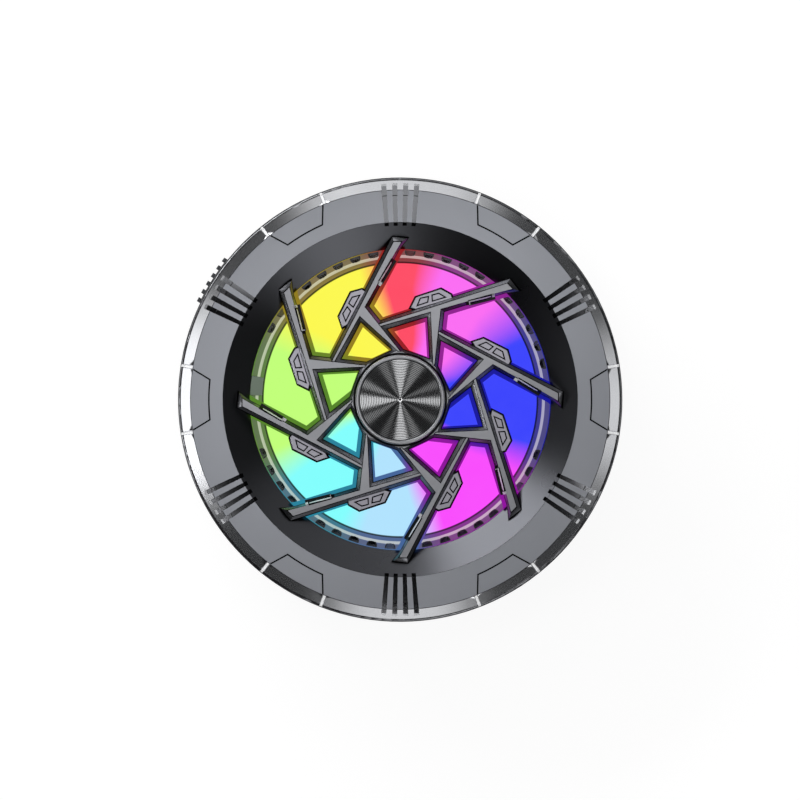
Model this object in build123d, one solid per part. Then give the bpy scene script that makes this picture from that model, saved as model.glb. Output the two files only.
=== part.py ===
from build123d import *
import math
import os

# A magnetic phone cooler, lying on its phone face with its lit front up.
# Millimetres. Z is the fan axis and z = 0 is the face that touches the phone.

# How far cutting shapes run past what they cut
cut_margin = 1.0

# Phone face and magnet ring
silicone_thickness = 0.8
silicone_margin = 0.5
silicone_edge = 0.3
magnet_ring_width = 4.7
magnet_margin = 3.9
magnet_thickness = 1.5
magnet_count = 16
magnet_gap = 1.0
magnet_slack = 0.1
yoke_thickness = 0.4
groove_clearance = 0.1

# Cold plate and thermoelectric module
silicone_lip = 0.5
silicone_overlap = 2.9
cold_face_step = 1.5
cold_rib = 1.05
cold_flange_thickness = 0.9
cold_plate_clearance = 0.15
tec_corner_margin = 0.49
ceramic_thickness = 0.6
pellet_height = 1.6
pellet_size = 2.2
pellet_rows = 6
pellet_margin = 1.6
paste_thickness = 0.15
paste_inset = 0.5
gasket_margin = 2.4
gasket_clearance = 0.3
gasket_squeeze = 0.05

# Back cover and housing
cover_clearance = 0.1
cover_web = 0.8
housing_radius = 34.0
housing_wall = 1.8
housing_foot = 0.6
housing_edge = 0.9
belt_depth = 0.35
belt_margin = 0.9
post_radius = 2.1
post_web_width = 2.6
post_angles = (75, 195, 315)
parting_chamfer = 0.3
louvre_count = 36
louvre_width = 2.5
louvre_height = 5.6
louvre_slant = 18

# Screws, all M1.6
screw_shank_radius = 0.8
screw_head_radius = 1.55
screw_head_height = 1.0
screw_socket_radius = 0.75
screw_socket_depth = 0.6
screw_hole_clearance = 0.2
pilot_clearance = 0.03
counterbore_clearance = 0.15
case_screw_length = 6.0
board_screw_length = 4.5
sink_screw_length = 3.4
fan_screw_length = 4.5
hub_screw_length = 4.2

# Heat sink
sink_margin = 1.6
sink_base = 1.8
fin_height = 5.0
fin_thickness = 0.6
fin_setback = 0.4
long_fin_root_radius = 12.0
short_fin_root_radius = 21.0
fin_count = 72
sink_screw_margin = 2.0
sink_screw_angles = (45, 165, 285)
sink_boss_radius = 1.7
fan_post_offset = 3.0
fan_post_radius = 1.8
fan_post_angles = (15, 135, 255)
post_notch_clearance = 0.4
wire_notch_width = 5.2
wire_notch_depth = 3.4

# Fan
fan_gap = 0.6
fan_base = 1.0
shroud_gap = 2.0
shroud_wall = 1.4
shroud_height = 6.5
shroud_flare = 0.6
fan_ear_radius = 2.5
fan_ear_thickness = 1.2
strut_width = 2.2
motor_base_setback = 0.4
impeller_hub_wall = 0.8
impeller_crown = 1.0
impeller_fillet = 0.6
impeller_lift = 0.5
impeller_top_drop = 0.8
blade_count = 9
blade_thickness = 0.75
blade_root_chord = 5.4
blade_root_angle = 48
blade_tip_chord = 7.8
blade_tip_angle = 30
blade_camber = 0.55
tip_clearance = 0.5
rotor_yoke_thickness = 0.3
rotor_fit = 0.02
rotor_magnet_thickness = 0.75
air_gap = 0.35
stator_height = 2.1
stator_rise = 0.45
stator_poles = 6
pole_neck = 1.5
pole_shoe = 0.9
pole_shoe_width = 3.6
stator_hub_wall = 0.8
coil_build = 0.4
coil_length = 1.86
fan_board_thickness = 0.4
fan_board_setback = 1.6
sleeve_radius = 1.9
sleeve_seat = 0.7
shaft_radius = 0.75
shaft_clearance = 0.04
shaft_end_gap = 0.25
fit_clearance = 0.05

# Main board with its port and switch; each chip is (angle, length, width, height)
board_rise = 4.3
board_thickness = 1.0
board_gap = 0.25
board_clearance = 0.6
chip_setback = 0.6
chips = [(30, 5, 5, 0.9), (225, 5, 5, 2.8), (345, 4, 3, 1.6), (100, 3.2, 2.5, 1.2)]
port_angle = 270
port_width = 8.94
port_height = 3.26
port_length = 7.35
port_wall = 0.3
port_setback = 0.55
port_tongue_width = 6.69
port_tongue_height = 0.7
port_tongue_length = 4.6
port_block = 1.6
port_clearance = 0.15
port_recess_margin = 1.1
port_recess_depth = 0.3
switch_depth = 3.0
switch_width = 6.0
switch_height = 4.2
plunger_radius = 0.9
plunger_stem = 1.5
plunger_reach = 0.7

# Ribbed side button
button_angle = 147.6
button_length = 7.9
button_height = 4.4
button_proud = 0.2
button_rib_proud = 0.65
button_rib_count = 6
button_rib_width = 0.7
button_flange_length = 9.6
button_flange_height = 4.0
button_flange_thickness = 0.8
button_lift = 0.2
button_travel = 0.45
button_clearance = 0.12
button_flange_gap = 0.5

# Lit disc
inlet_gap = 1.2
tray_floor = 0.8
tray_clearance = 0.08
tray_wall = 0.5
tray_lug_clearance = 0.08
tray_lug_width = 2.4
tray_lug_count = 6
tray_lug_start = 25
led_board_thickness = 0.8
led_height = 0.7
led_size = 2.0
led_inner_ring_radius = 9.5
led_outer_ring_inset = 4.0
led_ring_counts = (8, 16)
led_start = 11
mixing_depth = 1.8
diffuser_thickness = 0.8
disc_clearance = 0.04
skirt_height = 1.5
skirt_lead = 0.3
skirt_trail = 0.6
skirt_hub_margin = 0.1
skirt_ledge_height = 0.6
skirt_clearance = 0.12

# Clear ring round the lit disc
ring_width = 1.94
ring_sleeve_wall = 0.42
ring_clearance = 0.06
ring_slope_width = 0.32
ring_shelf_width = 1.02
ring_low_rise = 0.15
ring_high_rise = 0.65
ring_bead_rise = 0.85
ring_bead_width = 0.1
ring_flange_thickness = 0.75
window_length = 0.73
window_margin = 0.14
window_inner_width = 0.95
window_outer_width = 1.42
window_bulge = 0.12
window_full_count = 50
window_arc_count = 20
window_arc_starts = (14.1, 201.3)
tab_start_angle = 170.8
tab_end_angle = 178.3
tab_proud = 0.1

# Wheel over the lit disc: every spoke is a bar and a strut with a flat ridge
spoke_count = 8
spoke_drawn_from = 7.47
spoke_drawn_to = 23.08
wheel_body = 0.6
ridge_rise = 0.75
ridge_recess = 0.35
bar_ridge = [(-10.39, 5.88), (-10.09, 5.88), (-1.08, 22.0), (0.14, 24.1), (-1.0, 24.1)]
bar_outline = [(-11.21, 5.60), (-9.29, 5.60), (-0.14, 22.84), (1.38, 24.78), (-1.25, 25.12)]
strut_ridge = [(-6.37, 12.99), (-0.20, 7.37), (-0.08, 7.43), (-5.72, 14.50)]
strut_outline = [(-6.62, 12.32), (-0.70, 7.03), (1.05, 7.03), (-4.90, 14.54)]
pod_outline = [(-5.81, 17.12), (-7.72, 16.58), (-9.63, 12.76), (-8.94, 10.70), (-7.95, 11.31), (-5.04, 16.66)]
pod_windows = [
    [(-7.34, 15.67), (-7.87, 14.75), (-7.18, 14.14), (-6.19, 15.97)],
    [(-8.10, 14.21), (-8.79, 13.14), (-8.33, 12.00), (-7.57, 13.53)],
]
pod_rise = 0.25
pod_bevel = 0.3
pod_line_width = 0.2
pod_line_depth = 0.25
flank_pocket = [(-3.44, 18.04), (-2.75, 17.81), (-0.69, 21.17), (-1.38, 21.63)]
pocket_rib = [(-3.26, 18.0), (-3.06, 17.9), (-0.99, 21.32), (-1.19, 21.42)]
pocket_stop = [(-3.44, 17.62), (-3.02, 17.34), (-2.68, 17.86), (-3.12, 18.16)]
pocket_floor_rise = 0.15
pocket_rib_drop = 0.2
hub_apothem = 7.47
hub_crown_bevel = 0.49
hub_crown_rise = 0.55
hub_edge_angle = 25.2
hub_seat_margin = 0.1
hub_seat_depth = 0.65
trim_width = 0.63
trim_clearance = 0.03
trim_fillet = 0.2
trim_height = 0.95
cap_rise = 0.75
cap_dish = 0.15
hub_post_radius = 2.2
hub_post_clearance = 0.2

# Front bezel and dish
bezel_ring_width = 4.95
bezel_wall = 1.2
bezel_skirt_height = 3.8
bezel_fillet = 0.45
chamfer_width = 1.45
chamfer_drop = 1.13
spigot_wall = 0.8
spigot_depth = 1.0
spigot_clearance = 0.1
dish_clearance = 0.04
dish_slope_width = 4.03
dish_depth = 2.2
dish_flange_clearance = 0.1
dish_flange_thickness = 0.8
dish_skirt_wall = 0.87
dish_ledge_width = 0.48
dish_ledge_thickness = 0.8
groove_group_angles = (90, 30, -30, -90, -150, 150)
groove_offsets = (-4.41, -1.47, 1.47, 4.41)
groove_width_angle = 1.36
groove_dish_overlap = 0.55
groove_margin = 0.91
groove_floor_drop = 0.02
groove_floor_slope = 10
panel_angles = (0, 60, 120, 180, 240, 300)
panel_inner_half_width = 3.13
panel_outer_half_width = 4.75
panel_outer_margin = 0.13
panel_line_width = 0.24
panel_line_depth = 0.2
panel_length = 2.97
notch_angle = 8.9
notch_size = 0.42

# Leads and ribbon
tec_wire_radius = 0.5
tec_wire_spacing = 2.2
tec_wire_radius_of_turn = 4.0
tec_wire_margin = 1.0
fan_wire_radius = 0.35
fan_wire_spacing = 0.8
fan_wire_offset = 1.9
lead_landing = 1.0
fan_wire_turn = 1.6
fan_wire_lift = 0.5
ribbon_width = 2.4
ribbon_thickness = 0.2
ribbon_inset = 2.5
ribbon_gap = 0.1
ribbon_slot_clearance = 0.2

# Heights, added up from the phone face
cover_z = silicone_thickness
magnet_z = cover_z + magnet_slack
yoke_z = magnet_z + magnet_thickness
magnet_groove_top = yoke_z + yoke_thickness
cover_top = magnet_groove_top + cover_web
case_screw_seat = cover_z + screw_head_height + magnet_slack
cold_plate_top = cold_face_step + cold_flange_thickness
tec_z = cold_plate_top + paste_thickness
pellet_z = tec_z + ceramic_thickness
hot_plate_z = pellet_z + pellet_height
sink_z = hot_plate_z + ceramic_thickness + paste_thickness
fin_z = sink_z + sink_base
fin_top = fin_z + fin_height
fan_z = fin_top + fan_gap
fan_base_top = fan_z + fan_base
shroud_top = fan_z + shroud_height
board_z = fan_z + board_rise
board_top = board_z + board_thickness
tray_z = shroud_top + inlet_gap
led_board_z = tray_z + tray_floor
led_z = led_board_z + led_board_thickness
diffuser_z = led_z + mixing_depth
diffuser_top = diffuser_z + diffuser_thickness
wheel_z = diffuser_top + skirt_height
shoulder_z = wheel_z + wheel_body
ridge_z = shoulder_z + ridge_rise
front_z = ridge_z + ridge_recess
hub_seat_floor = ridge_z - hub_seat_depth
parting_z = front_z - bezel_skirt_height
belt_low = fin_z - belt_margin
belt_high = fin_top + belt_margin
button_z = board_top + button_lift + button_height / 2
impeller_z = fan_base_top + impeller_lift
impeller_top = shroud_top - impeller_top_drop
stator_z = fan_base_top + fan_board_thickness + stator_rise

# Radii of the case and the bezel, worked inwards from the housing
housing_inner_radius = housing_radius - housing_wall
cover_radius = housing_inner_radius - cover_clearance
post_circle = housing_inner_radius - post_radius
spigot_outer_radius = housing_inner_radius - spigot_clearance
spigot_inner_radius = spigot_outer_radius - spigot_wall
chamfer_outer_radius = housing_radius - bezel_fillet
chamfer_inner_radius = chamfer_outer_radius - chamfer_width
bezel_opening_radius = chamfer_inner_radius - bezel_ring_width
groove_outer_radius = housing_radius - groove_margin
groove_inner_radius = bezel_opening_radius - groove_dish_overlap
panel_outer_radius = chamfer_inner_radius - panel_outer_margin
panel_arc_radius = chamfer_inner_radius - panel_length
button_body_radius = housing_radius + button_proud
button_rib_radius = housing_radius + button_rib_proud
button_flange_radius = housing_inner_radius - button_flange_gap
switch_face_radius = button_flange_radius - button_flange_thickness - plunger_reach
port_mouth_radius = housing_radius - port_setback

# Radii of the dish, the clear ring and the lit disc inside the bezel
dish_top_radius = bezel_opening_radius - dish_clearance
dish_foot_radius = dish_top_radius - dish_slope_width
dish_flange_radius = spigot_inner_radius - dish_flange_clearance
dish_skirt_radius = dish_foot_radius + dish_skirt_wall
dish_ledge_radius = dish_foot_radius - dish_ledge_width
ring_outer_radius = dish_foot_radius - ring_clearance
ring_inner_radius = ring_outer_radius - ring_width
ring_sleeve_radius = ring_inner_radius + ring_sleeve_wall
ring_slope_outer_radius = ring_outer_radius - ring_shelf_width
ring_slope_inner_radius = ring_slope_outer_radius - ring_slope_width
window_outer_radius = ring_outer_radius - window_margin
window_inner_radius = window_outer_radius - window_length
tray_radius = ring_inner_radius - tray_clearance
tray_lug_reach = dish_foot_radius - tray_lug_clearance
led_ring_radii = (led_inner_ring_radius, tray_radius - led_outer_ring_inset)
hub_crown_apothem = hub_apothem - hub_crown_bevel
hub_seat_radius = hub_crown_apothem - hub_seat_margin
trim_inner_radius = hub_seat_radius - trim_width

# Radii of the motor, worked outwards from its sleeve
stator_hub_radius = sleeve_radius + stator_hub_wall
coil_inner_radius = stator_hub_radius + 2 * fit_clearance
coil_outer_radius = coil_inner_radius + coil_length
coil_half_width = pole_neck / 2 + fit_clearance + coil_build
stator_radius = math.hypot(coil_outer_radius + fit_clearance, coil_half_width) + pole_shoe
rotor_magnet_inner_radius = stator_radius + air_gap
rotor_yoke_inner_radius = rotor_magnet_inner_radius + rotor_magnet_thickness + rotor_fit
rotor_yoke_outer_radius = rotor_yoke_inner_radius + rotor_yoke_thickness
impeller_hub_radius = rotor_yoke_outer_radius + rotor_fit + impeller_hub_wall
motor_base_radius = impeller_hub_radius - motor_base_setback
fan_board_radius = impeller_hub_radius - fan_board_setback

# Radii of the heat sink, the fan, the boards and the phone side
sink_radius = housing_inner_radius - sink_margin
fin_tip_radius = sink_radius - fin_setback
sink_screw_circle = sink_radius - sink_screw_margin
wire_notch_radius = sink_radius - wire_notch_depth
tec_wire_reach = sink_radius - tec_wire_margin
shroud_inner_radius = dish_ledge_radius - shroud_gap - shroud_wall
fan_post_circle = shroud_inner_radius + shroud_wall + fan_post_offset
board_outer_radius = housing_inner_radius - board_clearance
board_inner_radius = dish_skirt_radius + board_gap
fan_wire_reach = board_inner_radius + lead_landing
ribbon_near = tray_radius - ribbon_inset
ribbon_far = board_inner_radius + lead_landing
silicone_outer_radius = cover_radius - silicone_margin
magnet_outer_radius = silicone_outer_radius - magnet_margin
magnet_inner_radius = magnet_outer_radius - magnet_ring_width
silicone_inner_radius = magnet_inner_radius - silicone_overlap
cold_face_radius = silicone_inner_radius - silicone_lip
cold_flange_radius = magnet_inner_radius - groove_clearance - cold_rib - cold_plate_clearance
tec_side = math.sqrt(2) * (cold_flange_radius - tec_corner_margin)
gasket_outer_radius = sink_screw_circle - sink_boss_radius - gasket_margin


low_end = (Align.MIN, Align.CENTER, Align.MIN)
high_end = (Align.MAX, Align.CENTER, Align.MIN)
upright = (Align.CENTER, Align.CENTER, Align.MIN)


def at_z(face, z):
    return Pos(0, 0, z) * face


def disc(radius, low, high, hole=0.0):
    outline = Circle(radius)
    if hole > 0:
        outline = outline - Circle(hole)
    return at_z(extrude(outline, high - low), low)


def outline_face(points):
    return make_face(Polyline(*points, close=True))


def prism(points, low, high):
    return at_z(extrude(outline_face(points), high - low), low)


def turned(points):
    """A closed profile of (radius, height) points turned round the fan axis."""
    return revolve(Plane.XZ * outline_face(points), Axis.Z)


def sector(points, start, end):
    """The same profile turned only from one angle to another."""
    return Rot(0, 0, start) * revolve(Plane.XZ * outline_face(points), Axis.Z, revolution_arc=end - start)


def frustum(lower, upper, low, high):
    return loft([at_z(outline_face(lower), low), at_z(outline_face(upper), high)], ruled=True)


def around(shape, angles, radius=0.0):
    return [Rot(0, 0, angle) * Pos(radius, 0, 0) * shape for angle in angles]


def evenly(count, start=0.0):
    return [start + 360 * i / count for i in range(count)]


def group(shapes):
    return Compound(children=list(shapes))


def shifted(points, distances):
    """Moves each side of a counter-clockwise polygon outwards by its own distance."""
    count = len(points)
    sides = []
    for i in range(count):
        (x0, y0), (x1, y1) = points[i], points[(i + 1) % count]
        length = math.hypot(x1 - x0, y1 - y0)
        along = ((x1 - x0) / length, (y1 - y0) / length)
        sides.append(((x0 + along[1] * distances[i], y0 - along[0] * distances[i]), along))
    moved = []
    for i in range(count):
        (px, py), (ux, uy) = sides[i - 1]
        (qx, qy), (vx, vy) = sides[i]
        reach = ((qx - px) * vy - (qy - py) * vx) / (ux * vy - uy * vx)
        moved.append((px + ux * reach, py + uy * reach))
    return moved


def screw(length, head_z, up=1):
    """A cap screw on the Z axis: its head sits on head_z and its shank runs the other way."""
    head = disc(screw_head_radius, 0, screw_head_height)
    shank = disc(screw_shank_radius, -length, 0)
    socket = extrude(RegularPolygon(screw_socket_radius, 6), screw_head_height)
    socket = at_z(socket, screw_head_height - screw_socket_depth)
    whole = head + shank - socket
    if up < 0:
        whole = Rot(180, 0, 0) * whole
    return at_z(whole, head_z)


def fitted(points):
    """Moves a drawn outline in or out, so that it still reaches from the hub to the dish."""
    stretch = (dish_foot_radius - hub_apothem) / (spoke_drawn_to - spoke_drawn_from)
    moved = []
    for x, y in points:
        radius = math.hypot(x, y)
        share = (hub_apothem + (radius - spoke_drawn_from) * stretch) / radius
        moved.append((x * share, y * share))
    return moved


def dish_height(radius):
    return front_z - dish_depth * (dish_top_radius - radius) / dish_slope_width


def groove_floor(radius):
    flat = front_z - bezel_wall - groove_floor_drop
    return flat + (radius - dish_flange_radius) * math.tan(math.radians(groove_floor_slope))


def cold_plate():
    return turned([
        (0, 0),
        (cold_face_radius, 0),
        (cold_face_radius, cold_face_step),
        (cold_flange_radius, cold_face_step),
        (cold_flange_radius, cold_plate_top),
        (0, cold_plate_top),
    ])


def silicone_ring():
    ring = disc(silicone_outer_radius, 0, silicone_thickness, silicone_inner_radius)
    return fillet(ring.edges().filter_by(GeomType.CIRCLE).group_by(Axis.Z)[0], silicone_edge)


def magnets():
    low, high = magnet_z, magnet_z + magnet_thickness
    step = 360 / magnet_count
    gap = math.degrees(magnet_gap / magnet_outer_radius)
    section = [
        (magnet_inner_radius, low),
        (magnet_outer_radius, low),
        (magnet_outer_radius, high),
        (magnet_inner_radius, high),
    ]
    return group(sector(section, i * step + gap / 2, (i + 1) * step - gap / 2) for i in range(magnet_count))


def magnet_yoke():
    return disc(magnet_outer_radius, yoke_z, magnet_groove_top, magnet_inner_radius)


def back_cover():
    hole = cold_face_radius + cold_plate_clearance
    recess = cold_flange_radius + cold_plate_clearance
    groove_inner = magnet_inner_radius - groove_clearance
    groove_outer = magnet_outer_radius + groove_clearance
    cover = turned([
        (hole, cover_z),
        (groove_inner, cover_z),
        (groove_inner, magnet_groove_top),
        (groove_outer, magnet_groove_top),
        (groove_outer, cover_z),
        (cover_radius, cover_z),
        (cover_radius, cover_top),
        (recess, cover_top),
        (recess, cold_face_step),
        (hole, cold_face_step),
    ])
    boss = disc(sink_boss_radius, cover_top, sink_z)
    cover = cover + around(boss, sink_screw_angles, sink_screw_circle)
    pilot = disc(screw_shank_radius + pilot_clearance, fin_z - sink_screw_length - pilot_clearance, sink_z)
    cover = cover - around(pilot, sink_screw_angles, sink_screw_circle)
    shank_hole = disc(screw_shank_radius + screw_hole_clearance, cover_z, cover_top)
    head_hole = disc(screw_head_radius + counterbore_clearance, cover_z, case_screw_seat)
    return cover - around(shank_hole + head_hole, post_angles, post_circle)


def tec_ceramic(low):
    return at_z(extrude(Rectangle(tec_side, tec_side), ceramic_thickness), low)


def paste(low, side):
    return at_z(extrude(Rectangle(side, side), paste_thickness), low)


def tec_pellets():
    pitch = (tec_side - 2 * pellet_margin - pellet_size) / (pellet_rows - 1)
    pellet = at_z(extrude(Rectangle(pellet_size, pellet_size), pellet_height), pellet_z)
    first = -pitch * (pellet_rows - 1) / 2
    places = [(first + i * pitch, first + j * pitch) for i in range(pellet_rows) for j in range(pellet_rows)]
    return group(Pos(x, y, 0) * pellet for x, y in places)


def foam_gasket():
    low, high = cover_top + gasket_squeeze, sink_z - gasket_squeeze
    side = tec_side + 2 * gasket_clearance
    ring = at_z(extrude(Circle(gasket_outer_radius) - Rectangle(side, side), high - low), low)
    passage = Box(gasket_outer_radius, wire_notch_width, high - low, align=low_end)
    return ring - at_z(Rot(0, 0, port_angle) * passage, low)


def far_from(angle, others, reach, circle):
    """True if a ray at this angle passes these places on a circle by more than the reach."""
    least = math.degrees(math.asin(reach / circle))
    return all(abs((angle - other + 180) % 360 - 180) >= least for other in others)


def heatsink():
    sink = disc(sink_radius, sink_z, fin_z)
    notch = disc(post_radius + post_notch_clearance, sink_z, fin_z)
    sink = sink - around(notch, post_angles, post_circle)
    wires = Box(sink_radius, wire_notch_width, sink_base, align=low_end)
    sink = sink - Rot(0, 0, port_angle) * Pos(wire_notch_radius, 0, sink_z) * wires
    post_reach = post_radius + post_notch_clearance + fin_thickness / 2
    screw_reach = screw_head_radius + counterbore_clearance + fin_thickness / 2
    wire_reach = wire_notch_width / 2
    fins = []
    for step, angle in enumerate(evenly(fin_count)):
        clear = far_from(angle, post_angles, post_reach, post_circle)
        clear = clear and far_from(angle, sink_screw_angles, screw_reach, sink_screw_circle)
        if not clear or not far_from(angle, (port_angle,), wire_reach, wire_notch_radius):
            continue
        root = long_fin_root_radius if step % 2 == 0 else short_fin_root_radius
        fin = Box(fin_tip_radius - root, fin_thickness, fin_height, align=low_end)
        fins.append(Rot(0, 0, angle) * Pos(root, 0, fin_z) * fin)
    sink = sink + fins
    sink = sink + around(disc(fan_post_radius, fin_z, fan_z), fan_post_angles, fan_post_circle)
    depth = fan_screw_length + pilot_clearance - fan_ear_thickness
    pilot = disc(screw_shank_radius + pilot_clearance, fan_z - depth, fan_z)
    sink = sink - around(pilot, fan_post_angles, fan_post_circle)
    hole = disc(screw_shank_radius + screw_hole_clearance, sink_z, fin_z)
    return sink - around(hole, sink_screw_angles, sink_screw_circle)


def main_housing():
    belt_radius = housing_radius - belt_depth
    wall = turned([
        (housing_inner_radius, housing_foot),
        (housing_radius - housing_edge, housing_foot),
        (housing_radius, housing_foot + housing_edge),
        (housing_radius, belt_low - belt_depth),
        (belt_radius, belt_low),
        (belt_radius, belt_high),
        (housing_radius, belt_high + belt_depth),
        (housing_radius, parting_z - parting_chamfer),
        (housing_radius - parting_chamfer, parting_z),
        (housing_inner_radius, parting_z),
    ])
    reach = (housing_inner_radius + housing_radius) / 2 - post_circle
    web = Box(reach, post_web_width, board_z - cover_top, align=low_end)
    post = disc(post_radius, cover_top, board_z) + at_z(web, cover_top)
    wall = wall + around(post, post_angles, post_circle)
    pilot = screw_shank_radius + pilot_clearance
    low_pilot = disc(pilot, cover_top, case_screw_seat + case_screw_length + pilot_clearance)
    high_pilot = disc(pilot, board_top - board_screw_length - pilot_clearance, board_z)
    wall = wall - around(low_pilot + high_pilot, post_angles, post_circle)
    through = housing_radius - housing_inner_radius + 2 * cut_margin
    louvre = Rot(louvre_slant, 0, 0) * Box(through, louvre_width, louvre_height)
    louvre_z = (belt_low + belt_high) / 2
    angles = evenly(louvre_count, 180 / louvre_count)
    reach = post_radius + louvre_width / 2
    open_angles = [angle for angle in angles if far_from(angle, post_angles, reach, housing_inner_radius)]
    middle_radius = (housing_radius + housing_inner_radius) / 2
    wall = wall - [at_z(cut, louvre_z) for cut in around(louvre, open_angles, middle_radius)]
    wall = wall - port_opening()
    return wall - button_opening()


def port_shape(margin):
    return SlotOverall(port_width + 2 * margin, port_height + 2 * margin)


def port_block_solid(margin, near, far):
    """A stadium along the port's axis between two distances from the fan axis."""
    port_z = board_top + port_height / 2
    shape = Plane(origin=(0, 0, 0), x_dir=(0, 1, 0), z_dir=(1, 0, 0)) * port_shape(margin)
    return Rot(0, 0, port_angle) * Pos(near, 0, port_z) * extrude(shape, far - near)


def port_opening():
    through = port_block_solid(port_clearance, board_outer_radius, housing_radius + cut_margin)
    floor = housing_radius - port_recess_depth
    recess = port_block_solid(port_recess_margin, floor, housing_radius + cut_margin)
    return through + recess


def usb_shell():
    back = port_mouth_radius - port_length
    inside = port_block_solid(-port_wall, back + port_wall, port_mouth_radius)
    return port_block_solid(0, back, port_mouth_radius) - inside


def usb_tongue():
    back = port_mouth_radius - port_length + port_wall
    block = port_block_solid(-port_wall - fit_clearance, back, back + port_block)
    size = (port_tongue_length, port_tongue_width, port_tongue_height)
    tongue = Box(*size, align=(Align.MIN, Align.CENTER, Align.CENTER))
    return block + Rot(0, 0, port_angle) * Pos(back + port_block, 0, board_top + port_height / 2) * tongue


def main_board():
    board = disc(board_outer_radius, board_z, board_top, board_inner_radius)
    notch = disc(screw_shank_radius + screw_hole_clearance, board_z, board_top)
    return board - around(notch, post_angles, post_circle)


def board_chips():
    middle = (board_inner_radius + board_outer_radius) / 2 - chip_setback
    parts = []
    for angle, length, width, height in chips:
        chip = Box(length, width, height, align=upright)
        parts.append(Rot(0, 0, angle) * Pos(middle, 0, board_top) * chip)
    return group(parts)


def switch_body():
    box = Box(switch_depth, switch_width, switch_height, align=high_end)
    bore = Rot(0, -90, 0) * disc(plunger_radius + fit_clearance, 0, plunger_stem + button_travel)
    body = Pos(switch_face_radius, 0, board_top) * box - Pos(switch_face_radius, 0, button_z) * bore
    return Rot(0, 0, button_angle) * body


def switch_plunger():
    rod = Rot(0, 90, 0) * disc(plunger_radius, -plunger_stem + button_travel, plunger_reach)
    return Rot(0, 0, button_angle) * Pos(switch_face_radius, 0, button_z) * rod


def button_block(length, height, near, far):
    size = (far - near, length, height)
    return Pos(near, 0, button_z) * Box(*size, align=(Align.MIN, Align.CENTER, Align.CENTER))


def button_opening():
    gap = 2 * button_clearance
    far = housing_radius + cut_margin
    cut = button_block(button_length + gap, button_height + gap, board_inner_radius, far)
    return Rot(0, 0, button_angle) * cut


def power_button():
    front = button_flange_radius
    flange_size = (button_flange_length, button_flange_height)
    flange = button_block(*flange_size, front - button_flange_thickness, front)
    body = button_block(button_length, button_height, front, button_rib_radius + cut_margin)
    body = body & disc(button_rib_radius, 0, front_z)
    pitch = (button_length - button_rib_width) / (button_rib_count - 1)
    valley = disc(button_rib_radius + cut_margin, 0, front_z, button_body_radius)
    width = pitch - button_rib_width
    notch = button_block(width, button_height + cut_margin, front, button_rib_radius + cut_margin)
    for i in range(button_rib_count - 1):
        place = (i + 0.5) * pitch - (button_length - button_rib_width) / 2
        body = body - (Pos(0, place, 0) * notch & valley)
    return Rot(0, 0, button_angle) * (flange + body)


def fan_frame():
    outer = shroud_inner_radius + shroud_wall
    shroud = turned([
        (shroud_inner_radius, fan_z),
        (outer, fan_z),
        (outer, shroud_top),
        (shroud_inner_radius + shroud_flare, shroud_top),
        (shroud_inner_radius, shroud_top - 2 * shroud_flare),
    ])
    middle = shroud_inner_radius + shroud_wall / 2
    strut = Box(middle, strut_width, fan_base, align=low_end)
    frame = shroud + disc(motor_base_radius, fan_z, fan_base_top)
    frame = frame + [at_z(leg, fan_z) for leg in around(strut, sink_screw_angles)]
    arm_size = (fan_post_circle - middle, 2 * fan_ear_radius, fan_ear_thickness)
    ear_arm = Box(*arm_size, align=high_end)
    ear = disc(fan_ear_radius, 0, fan_ear_thickness) + ear_arm
    ear = ear - disc(screw_shank_radius + screw_hole_clearance, 0, fan_ear_thickness)
    frame = frame + [at_z(one, fan_z) for one in around(ear, fan_post_angles, fan_post_circle)]
    seat = disc(sleeve_radius + fit_clearance, fan_base_top - sleeve_seat, fan_base_top)
    notch_width = 2 * fan_wire_spacing + 2 * fan_wire_radius
    notch_size = (shroud_wall + 2 * cut_margin, notch_width, fan_base + fan_wire_radius)
    notch = Box(*notch_size, align=upright)
    notch = Pos(middle, fan_wire_offset + fan_wire_spacing / 2, fan_z) * notch
    notch = Rot(0, 0, sink_screw_angles[2]) * notch
    return frame - seat - notch


def fan_board():
    low = fan_base_top
    return disc(fan_board_radius, low, low + fan_board_thickness, sleeve_radius + fit_clearance)


def fan_bearing():
    low = fan_base_top - sleeve_seat
    high = stator_z + stator_height
    return disc(sleeve_radius, low, high, shaft_radius + shaft_clearance)


def fan_shaft():
    low = fan_base_top - sleeve_seat + shaft_end_gap
    return disc(shaft_radius, low, impeller_top - impeller_crown / 2)


def stator_core():
    outer = stator_radius
    shoe = Circle(outer) - Circle(outer - pole_shoe)
    keep = Sketch()
    for angle in evenly(stator_poles):
        keep = keep + Rot(0, 0, angle) * Pos(outer / 2, 0) * Rectangle(outer, pole_shoe_width)
    neck = Sketch()
    for angle in evenly(stator_poles):
        neck = neck + Rot(0, 0, angle) * Pos(outer / 2, 0) * Rectangle(outer - pole_shoe, pole_neck)
    flat = (shoe & keep) + neck + Circle(stator_hub_radius) - Circle(sleeve_radius + fit_clearance)
    return at_z(extrude(flat, stator_height), stator_z)


def stator_coils():
    hole = (pole_neck + 2 * fit_clearance, stator_height + 2 * fit_clearance)
    block = Box(coil_length, hole[0] + 2 * coil_build, hole[1] + 2 * coil_build)
    block = fillet(block.edges().filter_by(Axis.X), coil_build)
    coil = block - Box(coil_length, *hole)
    coil = Pos((coil_inner_radius + coil_outer_radius) / 2, 0, stator_z + stator_height / 2) * coil
    return group(around(coil, evenly(stator_poles)))


def rotor_yoke():
    return disc(rotor_yoke_outer_radius, impeller_z, impeller_top - impeller_crown, rotor_yoke_inner_radius)


def rotor_magnet():
    outer = rotor_yoke_inner_radius - rotor_fit
    return disc(outer, stator_z, stator_z + stator_height, rotor_magnet_inner_radius)


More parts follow.
